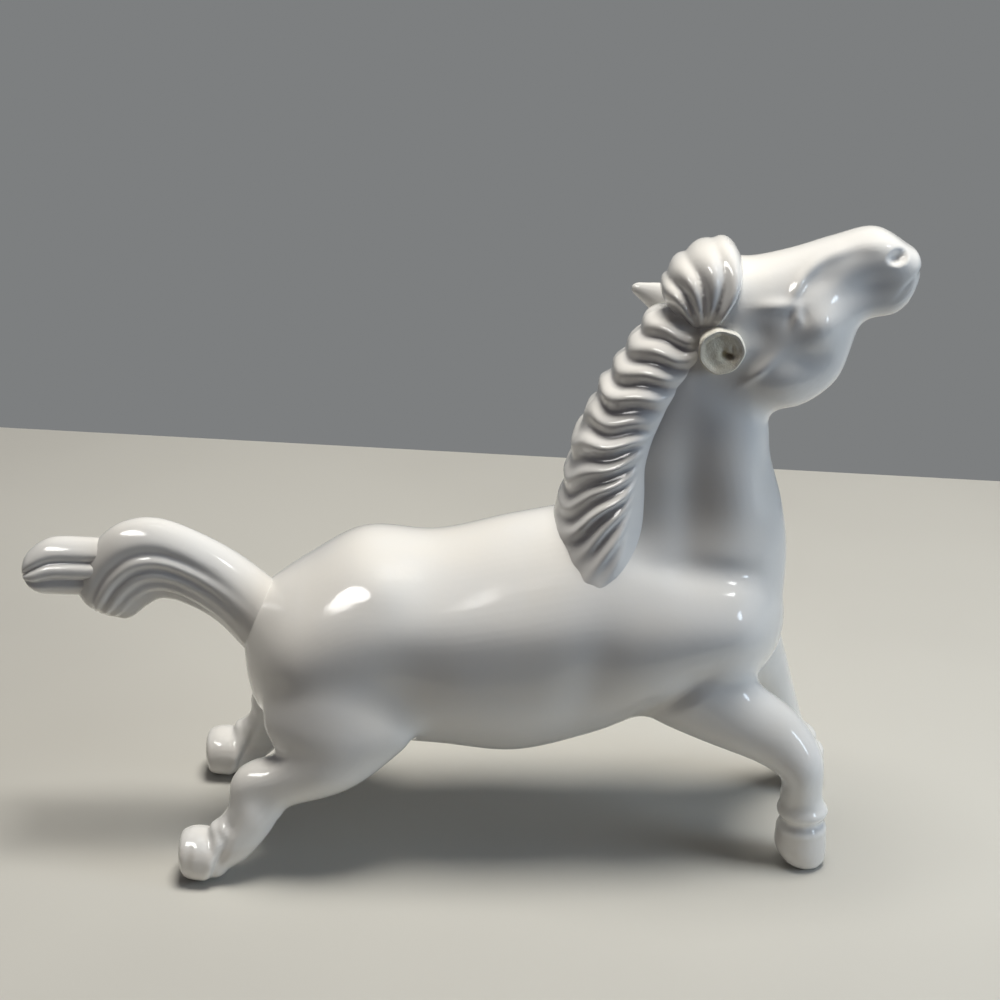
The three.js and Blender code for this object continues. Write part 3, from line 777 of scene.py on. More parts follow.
@dataclass
class Neck:
    """The upright neck, from the breast to the poll."""

    trunk: Trunk
    rise: float = 66
    root_depth: float = 46
    root_width: float = 29
    throat_depth: float = 37
    throat_width: float = 20
    egg: float = 0.14

    @property
    def root(self) -> tuple[float, float]:
        """Middle of the neck's root, x and z."""
        return self.trunk.length * 0.81, self.trunk.height * 1.11

    @property
    def poll(self) -> tuple[float, float]:
        """Top of the neck between the ears, x and z."""
        return self.trunk.length * 0.815, self.root[1] + self.rise

    def keys(self) -> list[Section]:
        """Key sections, level, from the breast upwards.

        Returns:
            The sections.
        """
        x, z = self.root
        top = self.poll[0]
        deep, wide = self.root_depth, self.root_width
        throat, narrow = self.throat_depth, self.throat_width
        rows = [
            (x, 0.06, 90, deep, wide * 1.05, self.egg),
            (x, 0.24, 90, deep, wide * 0.97, self.egg),
            (x - deep * 0.02, 0.41, 90, deep * 0.96, wide * 0.8, self.egg),
            (x - deep * 0.05, 0.58, 90, throat * 1.1, narrow * 1.15, self.egg),
            (x - deep * 0.03, 0.73, 90, throat, narrow * 1.05, self.egg),
            (top - throat * 0.01, 0.88, 95, throat * 0.82, narrow, 0),
            (top + throat * 0.03, 1.02, 100, throat * 0.58, narrow * 0.9, 0),
        ]
        return [Section(at, z + self.rise * up, *rest) for at, up, *rest in rows]

    def skin(self) -> Shape:
        """The neck's own skin."""
        return loft(self.keys(), rings=70, sides=80)

    def strokes(self) -> list[Stroke]:
        """The muscle along the windpipe, the hollow behind it and the step onto the breast.

        Returns:
            The strokes.
        """
        return [
            Stroke((110.5, 11, 92), (5, 8, 17), 1.2),
            Stroke((99, 13, 88), (5, 8, 16), -1.9),
            Stroke((104, 15, 72), (14, 7, 2.6), -0.9, -8),
        ]


@dataclass
class Head:
    """The raised head, from the poll to the lips."""

    neck: Neck
    length: float = 47
    jowl_depth: float = 34
    jowl_width: float = 23
    muzzle_depth: float = 19
    muzzle_width: float = 14
    round_start: float = 0.14
    round_end: float = 0.09
    square: float = 0.8

    def keys(self) -> list[Section]:
        """Key sections, across the face, from the poll to the lips.

        Returns:
            The sections.
        """
        x, z = self.neck.poll
        jowl, cheek = self.jowl_depth, self.jowl_width
        muzzle, lips = self.muzzle_depth, self.muzzle_width
        rows = [
            (-0.02, 0.03, -5, jowl * 0.6, cheek * 0.7),
            (0.12, 0.04, -8, jowl * 0.9, cheek * 0.93),
            (0.33, 0, -14, jowl, cheek),
            (0.525, 0.12, -22, jowl * 0.89, cheek * 0.87),
            (0.68, 0.35, -18, muzzle * 1.03, lips * 1.05),
            (0.81, 0.395, -6, muzzle * 1.03, lips),
            (0.92, 0.365, 5, muzzle * 0.75, lips * 0.9),
            (1, 0.39, 10, muzzle * 0.42, lips * 0.62),
        ]
        return [Section(x + self.length * out, z + jowl * up, *rest) for out, up, *rest in rows]

    def skin(self) -> Shape:
        """The head's own skin, a little boxy."""
        return loft(self.keys(), rings=90, sides=80, start=self.round_start, end=self.round_end,
                    square=self.square)

    def strokes(self) -> list[Stroke]:
        """The face from the brow along the nose, then cheekbone, eye, jaw, nostril and mouth.

        Returns:
            The strokes.
        """
        return [
            # Brow, and the edge of the nose from the brow to the nostril
            Stroke((115.8, 9.5, 130.9), (4.0, 4, 1.3), 0.8, 0),
            Stroke((119.8, 8.6, 134.3), (2.8, 4, 1.1), 0.7, 62),
            Stroke((122.8, 7.8, 138.0), (3.2, 4, 1.1), 0.7, 42),
            Stroke((128.0, 7, 140.9), (4.2, 4, 1.2), 0.8, 20),
            Stroke((135.5, 6, 142.4), (4.2, 4, 1.4), 0.4, 0),
            # Valley beside the nose, hollow of the muzzle and cheekbone
            Stroke((125.0, 8, 135.8), (4.0, 4, 2.2), -0.5, 28),
            Stroke((135.6, 6.5, 133.8), (6.0, 5, 3.2), -1.1, 10),
            Stroke((124.9, 10.5, 126.4), (4.6, 6, 4.2), 1.8, 65),
            # Hollow behind the eye, the eye, and the creases in front of it and behind it
            Stroke((112.0, 9.5, 125.2), (3.6, 6, 3.2), -1.0, -40),
            Stroke((119.9, 10, 128.8), (1.4, 6, 2.1), 0.45, -10),
            Stroke((121.4, 10, 129.0), (0.8, 6, 1.8), -0.35, 10),
            Stroke((118.3, 10, 128.4), (0.8, 6, 2.0), -0.3, -10),
            # Hollow under the cheekbone, edge of the jaw, hollow behind it and jowl
            Stroke((121.6, 11, 119.4), (5.0, 6, 2.6), -0.6, 0),
            Stroke((112.9, 11, 117.4), (4.6, 6, 1.1), 0.6, 45),
            Stroke((110.5, 11, 119.3), (4.2, 6, 1.8), -0.5, 45),
            Stroke((119.5, 11, 114.6), (5.5, 6, 3.5), 0.6, 0),
            # Wing of the nostril, nostril, mouth and notch of the lips
            Stroke((141.0, 6, 140.0), (3.6, 4, 3.1), 0.7, 0),
            Stroke((140.9, 6, 140.3), (1.9, 4, 1.4), -1.9, 10, crisp=2.5),
            Stroke((143.3, 4.5, 133.9), (2.6, 5, 0.6), -0.4, 50),
            Stroke((146.2, 0, 136.0), (1.4, 6, 0.7), -0.6, 35),
        ]


@dataclass
class Leg:
    """What a foreleg and a hind leg share: the trunk, the side, the shank and the hoof."""

    trunk: Trunk
    side: Side
    shank_width: float = 10
    hoof_height: float = 8.5
    hoof_length: float = 11.8
    hoof_width: float = 11.4


@dataclass
class Foreleg(Leg):
    """A foreleg that reaches forwards and stands, with its hoof."""

    track: float = 35
    reach: float = 24
    left_elbow_lead: float = 12
    left_knee_lag: float = 2
    left_hoof_lead: float = 4.6
    knee_height: float = 25.5
    knee_depth: float = 11
    cannon_depth: float = 9.6

    def keys(self) -> list[Section]:
        """Key sections from the elbow to the sole.

        Returns:
            The sections.
        """
        ahead = 1 if self.side is Side.LEFT else 0
        elbow_x, elbow_z = self.trunk.length * 0.83, self.trunk.height * 0.92
        start = elbow_x + ahead * self.left_elbow_lead
        knee = elbow_x + self.reach - ahead * self.left_knee_lag
        foot = elbow_x + self.reach + self.cannon_depth * 0.1 + ahead * self.left_hoof_lead
        ankle = foot - ahead * self.left_hoof_lead / 2
        root = self.side.value * self.trunk.barrel_width / 4
        track = self.side.value * self.track / 2
        high, deep, wide, cannon = self.knee_height, self.knee_depth, self.shank_width, self.cannon_depth
        hoof, long, broad = self.hoof_height, self.hoof_length, self.hoof_width
        return [
            Section(elbow_x * 0.7 + start * 0.3, elbow_z, 46, deep * 2.8, wide * 1.7, y=root),
            Section(start * 0.69 + knee * 0.31, elbow_z * 0.82, 42, deep * 1.78, wide * 1.4, y=track * 0.78),
            Section(start * 0.23 + knee * 0.77, high * 1.24, 38, deep * 1.3, wide * 1.22, y=track * 0.91),
            Section(knee, high, 54, deep, wide * 1.16, y=track),
            Section((knee + ankle) / 2, hoof * 2.1, 84, cannon, wide * 0.95, y=track),
            Section(ankle, hoof * 1.66, 90, cannon * 1.15, wide * 1.1, y=track),
            Section((ankle + foot) / 2, hoof * 1.38, 90, cannon * 1.07, wide * 1.02, y=track),
            Section(foot, hoof * 1.16, 90, long * 0.93, broad * 0.96, y=track),
            Section(foot, hoof * 0.65, 90, long, broad, y=track),
            Section(foot + long * 0.07, hoof * 0.2, 90, long * 0.84, broad * 0.88, y=track),
            Section(foot + long * 0.12, 0, 90, long * 0.6, broad * 0.66, y=track),
        ]

    def skin(self) -> Shape:
        """The leg's own skin."""
        return loft(self.keys(), rings=90, sides=56)

    def strokes(self) -> list[Stroke]:
        """The ledge under the fetlock, the groove below it and the coronet, all round the leg.

        Returns:
            The strokes for the right leg, and none for the left, as a stroke works on both sides.
        """
        if self.side is Side.LEFT:
            return []
        foot = self.keys()[-3]
        around = 14
        rows = ((14.2, 1.2, 0.35), (11.9, 0.9, -0.5), (9.6, 1.0, 0.25))
        return [Stroke((foot.x, abs(foot.y), z), (around, around, high), push) for z, high, push in rows]


@dataclass
class HindLeg(Leg):
    """A hind leg that has just pushed off, with its hoof turned up behind."""

    track: float = 46
    reach: float = 19
    hock_height: float = 20.6
    hock_depth: float = 13.5
    cannon_depth: float = 11

    def keys(self) -> list[Section]:
        """Key sections from the haunch to the toe.

        Returns:
            The sections.
        """
        reach = self.reach
        stifle_x, stifle_z = self.trunk.length * 0.187, self.trunk.height * 0.73
        hock_x, hock_z = stifle_x - reach, self.hock_height
        foot_x, foot_z = hock_x - self.cannon_depth * 0.55, self.hoof_height * 1.15
        shin_z = (hock_z + foot_z) * 0.475
        root = self.side.value * self.trunk.croup_width / 4
        track = self.side.value * self.track / 2
        deep, wide, cannon = self.hock_depth, self.shank_width, self.cannon_depth
        toe, broad, high = self.hoof_length, self.hoof_width, self.hoof_height
        return [
            Section(stifle_x + deep * 0.2, stifle_z + deep, -80, deep * 2.4, wide * 2, y=root),
            Section(stifle_x, stifle_z, -84, deep * 2.65, wide * 1.9, y=track * 0.7),
            Section(stifle_x - reach * 0.18, stifle_z * 0.78, -78, deep * 1.85, wide * 1.55, y=track * 0.79),
            Section(stifle_x - reach * 0.65, hock_z * 1.17, -28, deep * 1.03, wide * 1.2, y=track * 0.86),
            Section(hock_x, hock_z, -38, deep, wide * 1.1, y=track * 0.9),
            Section(hock_x - cannon * 0.2, shin_z, -55, cannon, wide * 1.05, y=track * 0.95),
            Section(foot_x, foot_z, -40, cannon * 0.98, wide * 0.98, y=track),
            Section(foot_x - toe * 0.26, high * 0.86, -28, toe * 0.88, broad * 0.9, y=track),
            Section(foot_x - toe * 0.42, high * 0.74, -18, toe * 1.02, broad * 1.06, y=track),
            Section(foot_x - toe * 0.74, high * 0.7, -8, toe * 1.04, broad * 1.08, y=track),
            Section(foot_x - toe * 1.06, high * 0.65, -2, toe * 0.86, broad * 0.94, y=track),
        ]

    def skin(self) -> Shape:
        """The leg's own skin."""
        return loft(self.keys(), rings=110, sides=56, end=0.04)

    def strokes(self) -> list[Stroke]:
        """The hoof with its grooves and lumps, then the cannon, the hock and the gaskin.

        Returns:
            The strokes for the right leg, and none for the left, as a stroke works on both sides.
        """
        if self.side is Side.LEFT:
            return []
        rim = self.keys()[-4]
        return [
            # Groove over the hoof and the hoof's rim
            Stroke((rim.x + 0.4, abs(rim.y), rim.z), (0.9, 14, 9), -0.9, -24),
            Stroke((rim.x - 1.6, abs(rim.y), rim.z - 0.8), (1.0, 14, 9), 0.5, -18),
            # Lump over the hoof, the crease beside it and the dent of the pastern
            Stroke((-6.8, 24, 13.4), (1.5, 6, 1.4), 0.9),
            Stroke((-4.6, 25, 12.4), (0.9, 5, 1.6), -0.6, 30),
            Stroke((-2.6, 26, 14.6), (1.3, 5, 1.5), -0.6),
            # Groove down the hoof's wall and the bulge low on it
            Stroke((-12.0, 28, 6.5), (0.8, 5, 5), -0.35, -10),
            Stroke((-9.4, 28, 3.0), (2.5, 5, 2), 0.4),
            # Front of the cannon
            Stroke((7.4, 21, 15.5), (2.6, 7, 2.4), 0.9),
            # Point of the hock, the crease above it, its hollow and the gaskin
            Stroke((-2.5, 21, 22.5), (3, 7, 4), 0.8),
            Stroke((7.5, 21, 30), (3.4, 8, 1.6), -1.2, 25),
            Stroke((3.5, 27, 21.5), (5, 6, 3), -0.8, 15),
            Stroke((20, 27, 27), (8, 6, 5), 0.7, 30),
        ]


# Columns of the numbers on the skin's points
PLACE = slice(0, 3)
NORMAL = slice(3, 6)
TRUNK_SEAM = 6
HEAD_SEAM = 7
HOLLOW = 8


class Region(Enum):
    """The parts of the luted skin."""

    TRUNK = 0
    NECK = 1
    HEAD = 2
    LEFT_FORELEG = 3
    RIGHT_FORELEG = 4
    LEFT_HIND_LEG = 5
    RIGHT_HIND_LEG = 6

    @property
    def node(self) -> str:
        """The CAD node of this part."""
        shells = {Region.TRUNK: "body_shell", Region.NECK: "neck_shell", Region.HEAD: "head_shell"}
        return shells.get(self, self.name.lower())

    @property
    def is_leg(self) -> bool:
        """Whether the part has a hoof."""
        return self.name.endswith("LEG")


@dataclass
class Skin:
    """Trunk, neck, head and legs, luted into one soft skin and parted again along their seams."""

    trunk: Trunk
    neck: Neck
    head: Head
    legs: list[Foreleg | HindLeg]
    pitch: float = 0.5
    seam: float = 0.6
    end_margin: float = 0.8
    slides: int = 6
    clearance: float = 0.03
    full_crease: float = 0.06
    crease_gain: float = 3.0
    softness: float = 0.6
    softening: tuple[tuple[int, int], ...] = ((60, 100), (30, 40))
    firm_height: float = 14
    firm_fade: float = 12
    coronet_height: float = 10.2
    coronet_fade: float = 1.4

    def outside(self, form: Trunk | Head, points: Array) -> Array:
        """How far points are outside a casting's own skin, in mm, less the width of the seam.

        The section that a point lies in is found by sliding along the lean. The point's ratio to the
        section's outline is (|y / wide|^p + |z / deep|^p)^(1 / p), with p = 2 / square, and what the
        ratio is over 1 counts in mean radii.

        Args:
            form: the casting.
            points: places to measure.

        Returns:
            Distances, below 0 inside.
        """
        t = np.linspace(0, 1, 800)
        x, _, z, lean, depth, width, _ = Run.through(form.keys()).at(t).T
        full = fullness(t, form.round_start) * fullness(1 - t, form.round_end)
        low, high = x[0] + self.end_margin, x[-1] - self.end_margin
        station = np.clip(points[:, 0], low, high)
        for _ in range(self.slides):
            slope = np.tan(np.radians(np.interp(station, x, lean)))
            middle = np.interp(station, x, z)
            station = np.clip(points[:, 0] - slope * (points[:, 2] - middle), low, high)
        middle = np.interp(station, x, z)
        deep = np.interp(station, x, depth * full) / 2
        wide = np.interp(station, x, width * full) / 2
        power = 2 / form.square
        across = np.abs(points[:, 1] / wide) ** power
        upright = np.abs((points[:, 2] - middle) / deep) ** power
        ratio = (across + upright) ** (1 / power)
        return (ratio - 1) * (deep + wide) / 2 - self.seam

    def luted(self) -> Shape:
        """All castings in one skin, with their creases filled as wet slip fills them.

        In each softening, the creases are found by their hollowness and spread over their surroundings
        for its first number of rounds, and the skin is smoothed there for its second. The feet stay firm.

        Returns:
            The skin.
        """
        forms = [self.trunk, self.neck, self.head, *self.legs]
        shape = fair(fused([form.skin() for form in forms], self.pitch), rounds=5)
        edges = shape.edges
        for spread, rounds in self.softening:
            crease = np.clip(hollowness(shape, 2) / (self.full_crease * self.pitch), 0, 1)
            weight = np.clip(self.crease_gain * relaxed(crease, edges, 0.7, spread), 0, 1)
            weight = weight * np.clip((shape.points[:, 2] - self.firm_height) / self.firm_fade, 0, 1)
            shape = Shape(relaxed(shape.points, edges, self.softness * weight, rounds), shape.faces)
        return shape

    def parted(self, data: Array, faces: Array, column: int) -> tuple[Array, Array]:
        """Cuts a skin along the line where one column of its data changes sign.

        A face that the line crosses becomes three, with new points where the column is 0 on its edges.
        A point nearer to 0 than the clearance is set to it first, so that the cut makes no slivers.

        Args:
            data: rows of numbers on the points.
            faces: triangles.
            column: which number to cut by.

        Returns:
            The rows and triangles after the cut.
        """
        value = data[:, column]
        value[np.abs(value) < self.clearance] = self.clearance
        above = value > 0
        count = above[faces].sum(1)
        mixed = (count == 1) | (count == 2)
        cut = faces[mixed]
        lone = np.where(count[mixed][:, None] == 1, above[cut], ~above[cut]).argmax(1)
        a, b, c = (cut[np.arange(len(cut)), (lone + k) % 3] for k in range(3))
        pairs = np.sort(np.concatenate([np.stack([a, b], 1), np.stack([a, c], 1)]), axis=1)
        crossing, which = np.unique(pairs, axis=0, return_inverse=True)
        which = which.ravel()
        first, second = data[crossing[:, 0]], data[crossing[:, 1]]
        share = (first[:, column] / (first[:, column] - second[:, column]))[:, None]
        fresh = first + share * (second - first)
        fresh[:, column] = 0
        ab, ac = len(data) + which[: len(cut)], len(data) + which[len(cut):]
        made = [np.stack([a, ab, ac], 1), np.stack([ab, b, c], 1), np.stack([ab, c, ac], 1)]
        return np.vstack([data, fresh]), np.vstack([faces[~mixed], *made])

    def region_of(self, data: Array, faces: Array) -> Array:
        """The region of each face: the first whose test its place and the seams' fields pass.

        Args:
            data: rows of numbers on the points.
            faces: triangles.

        Returns:
            The region's value for each face.
        """
        middle = data[faces].mean(1)
        x, y, z = middle[:, PLACE].T
        fore, left, raised = x > self.trunk.length / 2, y > 0, z > self.trunk.height * 1.12
        tests = {
            Region.TRUNK: middle[:, TRUNK_SEAM] < 0,
            Region.HEAD: raised & (middle[:, HEAD_SEAM] < 0),
            Region.NECK: raised,
            Region.LEFT_FORELEG: fore & left,
            Region.RIGHT_FORELEG: fore,
            Region.LEFT_HIND_LEG: left,
        }
        values = [region.value for region in tests]
        return np.select(list(tests.values()), values, Region.RIGHT_HIND_LEG.value)

    def build(self) -> dict[str, bpy.types.Object]:
        """Lutes, models and parts the skin.

        Returns:
            The pieces by node.
        """
        shape = self.luted()
        seams = [self.outside(form, shape.points) for form in (self.trunk, self.head)]
        strokes = self.trunk.strokes() + self.neck.strokes() + self.head.strokes()
        strokes += [stroke for leg in self.legs for stroke in leg.strokes()]
        shape = modelled(shape, strokes)
        shape.points[:, 2] = np.maximum(shape.points[:, 2], 0)
        hollow = hollowness(shape, 3) / self.pitch
        data = np.column_stack([shape.points, shape.normals(), *seams, hollow])
        data, faces = self.parted(data, shape.faces, TRUNK_SEAM)
        data, faces = self.parted(data, faces, HEAD_SEAM)
        labels = self.region_of(data, faces)
        return {region.node: self.piece(region, data, faces, labels) for region in Region}

    def piece(self, region: Region, data: Array, faces: Array, labels: Array) -> bpy.types.Object:
        """One part of the skin, closed by a lid over each of its seams.

        A lid is a fan from a seam to its middle, and lies inside the figurine. The skin's corners keep
        the whole skin's normals, so the light runs on over the seam.

        Args:
            region: the part.
            data: rows of place, normal, seam fields and hollowness.
            faces: triangles of the whole skin.
            labels: the region of each triangle.

        Returns:
            The piece.
        """
        mine = faces[labels == region.value]
        size = len(data)
        ways = ways_of(faces)
        owner = np.tile(labels, 3)
        code = ways[:, 0] * size + ways[:, 1]
        back = ways[:, 1] * size + ways[:, 0]
        order = np.argsort(code)
        twin = np.clip(np.searchsorted(code[order], back), 0, len(code) - 1)
        across = owner[order[twin]]
        rim = (owner == region.value) & (across != region.value)
        used, inverse = np.unique(mine.ravel(), return_inverse=True)
        points, hollow = data[used, PLACE], data[used, HOLLOW]
        skins = [inverse.reshape(-1, 3)]
        corners = [data[mine, NORMAL]]
        for other in np.unique(across[rim]):
            edge = np.searchsorted(used, ways[rim & (across == other)])
            points = np.vstack([points, points[np.unique(edge)].mean(0)])
            hollow = np.append(hollow, 0)
            lid = np.column_stack([edge[:, ::-1], np.full(len(edge), len(points) - 1)])
            a, b, c = (points[lid[:, k]] for k in range(3))
            flat = unit(np.cross(b - a, c - a))
            skins.append(lid)
            corners.append(np.repeat(flat[:, None], 3, axis=1))
        low = np.clip((self.coronet_height - points[:, 2]) / self.coronet_fade, 0, 1)
        masks = {"hollow": hollow, "hoof": low * region.is_leg}
        whole = Shape(points, np.vstack(skins))
        return piece_of(region.node, whole, "glaze", masks, np.concatenate(corners))


@dataclass
class Mane:
    """A row of rolled locks over the crest: they hang down the side near the poll and turn up below."""

    neck: Neck
    depth: float = 19
    width: float = 21
    locks: float = 12
    lock_height: float = 1.6
    reach: float = 112
    slide: float = 11

    def keys(self) -> list[Section]:
        """Key sections square to the crest line, spread where the mane falls on the withers.

        Returns:
            The sections.
        """
        t = np.linspace(0, 1, 6)
        run = Run.through(self.neck.keys())
        near = [run.at(np.clip(t + shift, 0, 1)) for shift in (-0.03, 0, 0.03)]
        below, crest, above = (np.stack([rows[:, 0] - rows[:, 4] / 2, rows[:, 2]], 1) for rows in near)
        climb = unit(above - below)
        fall = (1 - t) ** 2
        spread = 1 + 0.35 * fall
        inset = self.depth * (spread / 2 - 0.12) - self.slide * fall ** 1.5
        place = crest + climb * (self.depth * np.where(t == 1, 0.45, 0))[:, None]
        lean = np.degrees(np.arctan2(climb[:, 1], -climb[:, 0]))
        return [
            Section(p[0] + c[1] * i, p[1] - c[0] * i, a, self.depth * s, self.width * (1 + f))
            for p, c, i, a, s, f in zip(place, climb, inset, lean, spread, fall)
        ]

    def relief(self, t: Array, angle: Array) -> Array:
        """Height of the locks over the mane's own section.

        Each lock is a ridge that starts at the crest and turns up along the side, by the square of its
        share of the way to the mane's edge. Locks are evenly spaced by the way walked along the crest.
        Low locks turn up more and have narrow crests, high ones have narrow grooves. A smooth band runs
        along the edge, and the locks fade on the withers.

        Args:
            t: place along the crest, from the withers to the poll.
            angle: place round the section, with the crest at three quarters of a turn.

        Returns:
            Heights in mm.
        """
        side = np.abs((angle - np.pi / 2) % (2 * np.pi) - np.pi) / math.radians(self.reach)
        low = np.clip((0.95 - t) / 0.6, 0, 1)
        lift = (0.05 + 0.25 * low * (0.45 + 0.55 * step(t, 0, 0.4))) * np.minimum(side, 1.1) ** 2
        places = np.linspace(0, 1, 200)
        strides = np.diff(Run.through(self.keys()).at(places)[:, [0, 2]], axis=0)
        walk = np.append(0, np.cumsum(np.linalg.norm(strides, axis=1)))
        start = np.interp(t - lift, places, walk / walk[-1]) + np.minimum(t - lift, 0)
        start = start + 0.008 * np.sin(9 * side + 14 * t)
        phase = self.locks * start + 0.12 * np.sin(9 * start + 0.6)
        swing = (1 + 0.2 * np.sin(2.4 * np.round(phase) + 0.7)) * (0.55 + 0.45 * step(side, 0.05, 0.4))
        lock = swing * ridges(phase, 0.7 + 0.5 * low) * (1 - step(side, 0.72, 1.05))
        band = 0.7 * low * np.exp(-((side - 0.92) / 0.13) ** 2)
        fade = 0.12 + 0.88 * step(t + 0.18 * side, 0.3, 0.44)
        return self.lock_height * ((lock + band - 0.55) * fade + 0.1)

    def build(self) -> dict[str, bpy.types.Object]:
        """Makes the mane, by its node."""
        shape = loft(self.keys(), rings=280, sides=160, start=0.08, end=0.08, relief=self.relief)
        return {"mane": glazed("mane", shape, 6, 0.12)}


@dataclass
class Forelock:
    """A fan of locks between the ears, spread from one root and rounded like a shell."""

    neck: Neck
    lean: tuple[float, ...] = (38, 26, 9, -6, -20, -35, -56)
    length: tuple[float, ...] = (15.0, 18.4, 21.0, 19.4, 17.4, 15.2, 11.6)
    width: tuple[float, ...] = (20.0, 22.5, 22.5, 21.5, 19.5, 16.5, 12.0)
    start: float = 1.5
    locks: float = 4.8
    lock_height: float = 1.7

    def keys(self) -> list[Section]:
        """Key sections from the front of the fan to its back, each along one way out of the root.

        Returns:
            The sections.
        """
        x, z = self.neck.poll
        rows = []
        for lean, length, width in zip(self.lean, self.length, self.width):
            out = (length + self.start) / 2
            way = math.radians(lean)
            place = (x + self.start + out * math.sin(way), z + out * math.cos(way))
            rows.append(Section(*place, lean, length - self.start, width))
        return rows

    def relief(self, t: Array, angle: Array) -> Array:
        """Height of the locks: ridges from the root to the rim that bow forwards on their way.

        Args:
            t: place in the fan, from its front to its back.
            angle: place round a section, with the rim at a quarter turn.

        Returns:
            Heights in mm.
        """
        out = 0.5 + 0.5 * np.sin(angle)
        phase = self.locks * (t + 0.10 * np.sin(np.pi * out)) - 0.35
        swing = 1 + 0.2 * np.sin(2.1 * np.round(phase))
        lock = swing * ridges(phase, 0.62) - 0.6
        return self.lock_height * lock * step(out, 0.12, 0.6) * (1 - 0.55 * out ** 6)

    def build(self) -> dict[str, bpy.types.Object]:
        """Makes the forelock, by its node."""
        fan = loft(self.keys(), rings=200, sides=160, start=0.2, end=0.16, square=0.85, relief=self.relief)
        return {"forelock": glazed("forelock", fair(fused([fan], pitch=0.32), rounds=4), 5, 0.2)}


@dataclass
class Ears:
    """The whole left ear, laid back, and what a break has left of the right ear.

    The stub's profile has a share of the radius and a depth under the break in each row, and its pits
    have a share of the depth, a place across and up, and a width and height in pit diameters.
    """

    neck: Neck
    length: float = 19
    diameter: float = 9.5
    cheek: float = 11.5
    stub_height: float = 2.2
    pit_diameter: float = 4.0
    pit_depth: float = 0.9
    profile: tuple[tuple[float, float], ...] = (
        (0.04, 0.6), (0.3, 0.57), (0.55, 0.5), (0.74, 0.36), (0.87, 0.14),
        (0.97, 0.05), (1.03, 0.35), (1.04, 1.2), (1.0, 2.6), (0.95, 5.5),
    )
    pits: tuple[tuple[float, ...], ...] = (
        (1.0, 1.7, -1.2, 0.34, 0.22), (0.6, 0.4, -0.3, 0.2, 0.26), (0.4, 2.3, 0.6, 0.13, 0.2),
    )

    @property
    def root(self) -> tuple[float, float]:
        """Root of the ears, x and z."""
        x, z = self.neck.poll
        return x + self.diameter * 0.46, z - self.diameter * 0.02

    def left(self) -> Shape:
        """The whole ear: a tapering loft with a hollow along its outer side.

        Returns:
            The skin.
        """
        x, z = self.root
        wide, out, long = self.diameter, self.cheek, self.length
        keys = [
            Section(x, z, 25, wide * 0.85, wide * 0.6, y=out * 0.75),
            Section(x - long * 0.4, z + long * 0.17, 25, wide, wide * 0.65, y=out * 0.9),
            Section(x - long * 0.92, z + long * 0.37, 25, wide * 0.2, wide * 0.16, y=out),
        ]

        def scoop(t: Array, angle: Array) -> Array:
            """Depth of the hollow: a trough at angle 0 that is deepest in the middle."""
            away = (angle + np.pi) % (2 * np.pi) - np.pi
            return -2.2 * np.exp(-(away / 0.55) ** 2) * np.sin(np.pi * np.clip(t, 0, 1)) ** 1.5

        return loft(keys, rings=90, sides=80, end=0.05, relief=scoop)

    def pitted(self, across: Array, up: Array) -> Array:
        """Depth of the pits on the break, as the sum of a bell for each.

        Args:
            across: places along the horse, from the middle of the break.
            up: places upwards from there.

        Returns:
            Depths, about 1 at the deepest.
        """
        depth = np.zeros_like(across)
        for share, x, z, wide, high in self.pits:
            away = ((across - x) / wide) ** 2 + ((up - z) / high) ** 2
            depth += share * np.exp(-away / self.pit_diameter ** 2)
        return depth

    def stub(self) -> tuple[Shape, Array, Array]:
        """The broken ear: a round profile turned about Y, dished and pitted on its face.

        The profile runs from the middle of the face over a raised rim and down the side. Two waves make
        the outline ragged, and two crossed waves roughen the face.

        Returns:
            The skin, its rim mask and its pit mask.
        """
        x, z = self.root
        radius = self.diameter / 2
        face = -0.93 * self.cheek - self.stub_height
        steps = np.linspace(0, 1, len(self.profile))
        t = np.linspace(0, 1, 90)
        share, depth = (np.interp(t, steps, row)[:, None] for row in np.array(self.profile).T)
        r = share * radius
        turn = np.linspace(0, 2 * np.pi, 96, endpoint=False)[None]
        ragged = 1 + 0.02 * np.sin(3 * turn + 0.6) + 0.015 * np.sin(7 * turn + 1.9)
        across, up = r * ragged * np.cos(turn), r * ragged * np.sin(turn)
        on_face = np.clip((0.9 * radius - r) / (0.25 * radius), 0, 1)
        rough = 0.07 * np.sin(1.3 * across + 0.7 * up) + 0.05 * np.sin(1.9 * up - 1.1 * across)
        pit = self.pitted(across, up)
        sink = depth + on_face * (rough + self.pit_depth * pit)
        grid = np.stack(np.broadcast_arrays(x + across, face + sink, z + up), -1)
        shape = tube(grid, grid[0].mean(0), grid[-1].mean(0))
        rim = np.exp(-((share - 1.0) / 0.13) ** 2) * (0.65 + 0.35 * np.sin(turn + 0.5))
        masks = [np.append(mask.ravel(), [mask[0].mean(), mask[-1].mean()]) for mask in (rim, pit * on_face)]
        return shape, masks[0], masks[1]

    def build(self) -> dict[str, bpy.types.Object]:
        """Makes both ears.

        Returns:
            The pieces by node.
        """
        ear = self.left()
        stub, rim, pit = self.stub()
        return {
            "left_ear": glazed("left_ear", ear, 3, 0.3),
            "right_ear_stub": piece_of("right_ear_stub", stub, "bisque", {"rim": rim, "pit": pit}),
        }


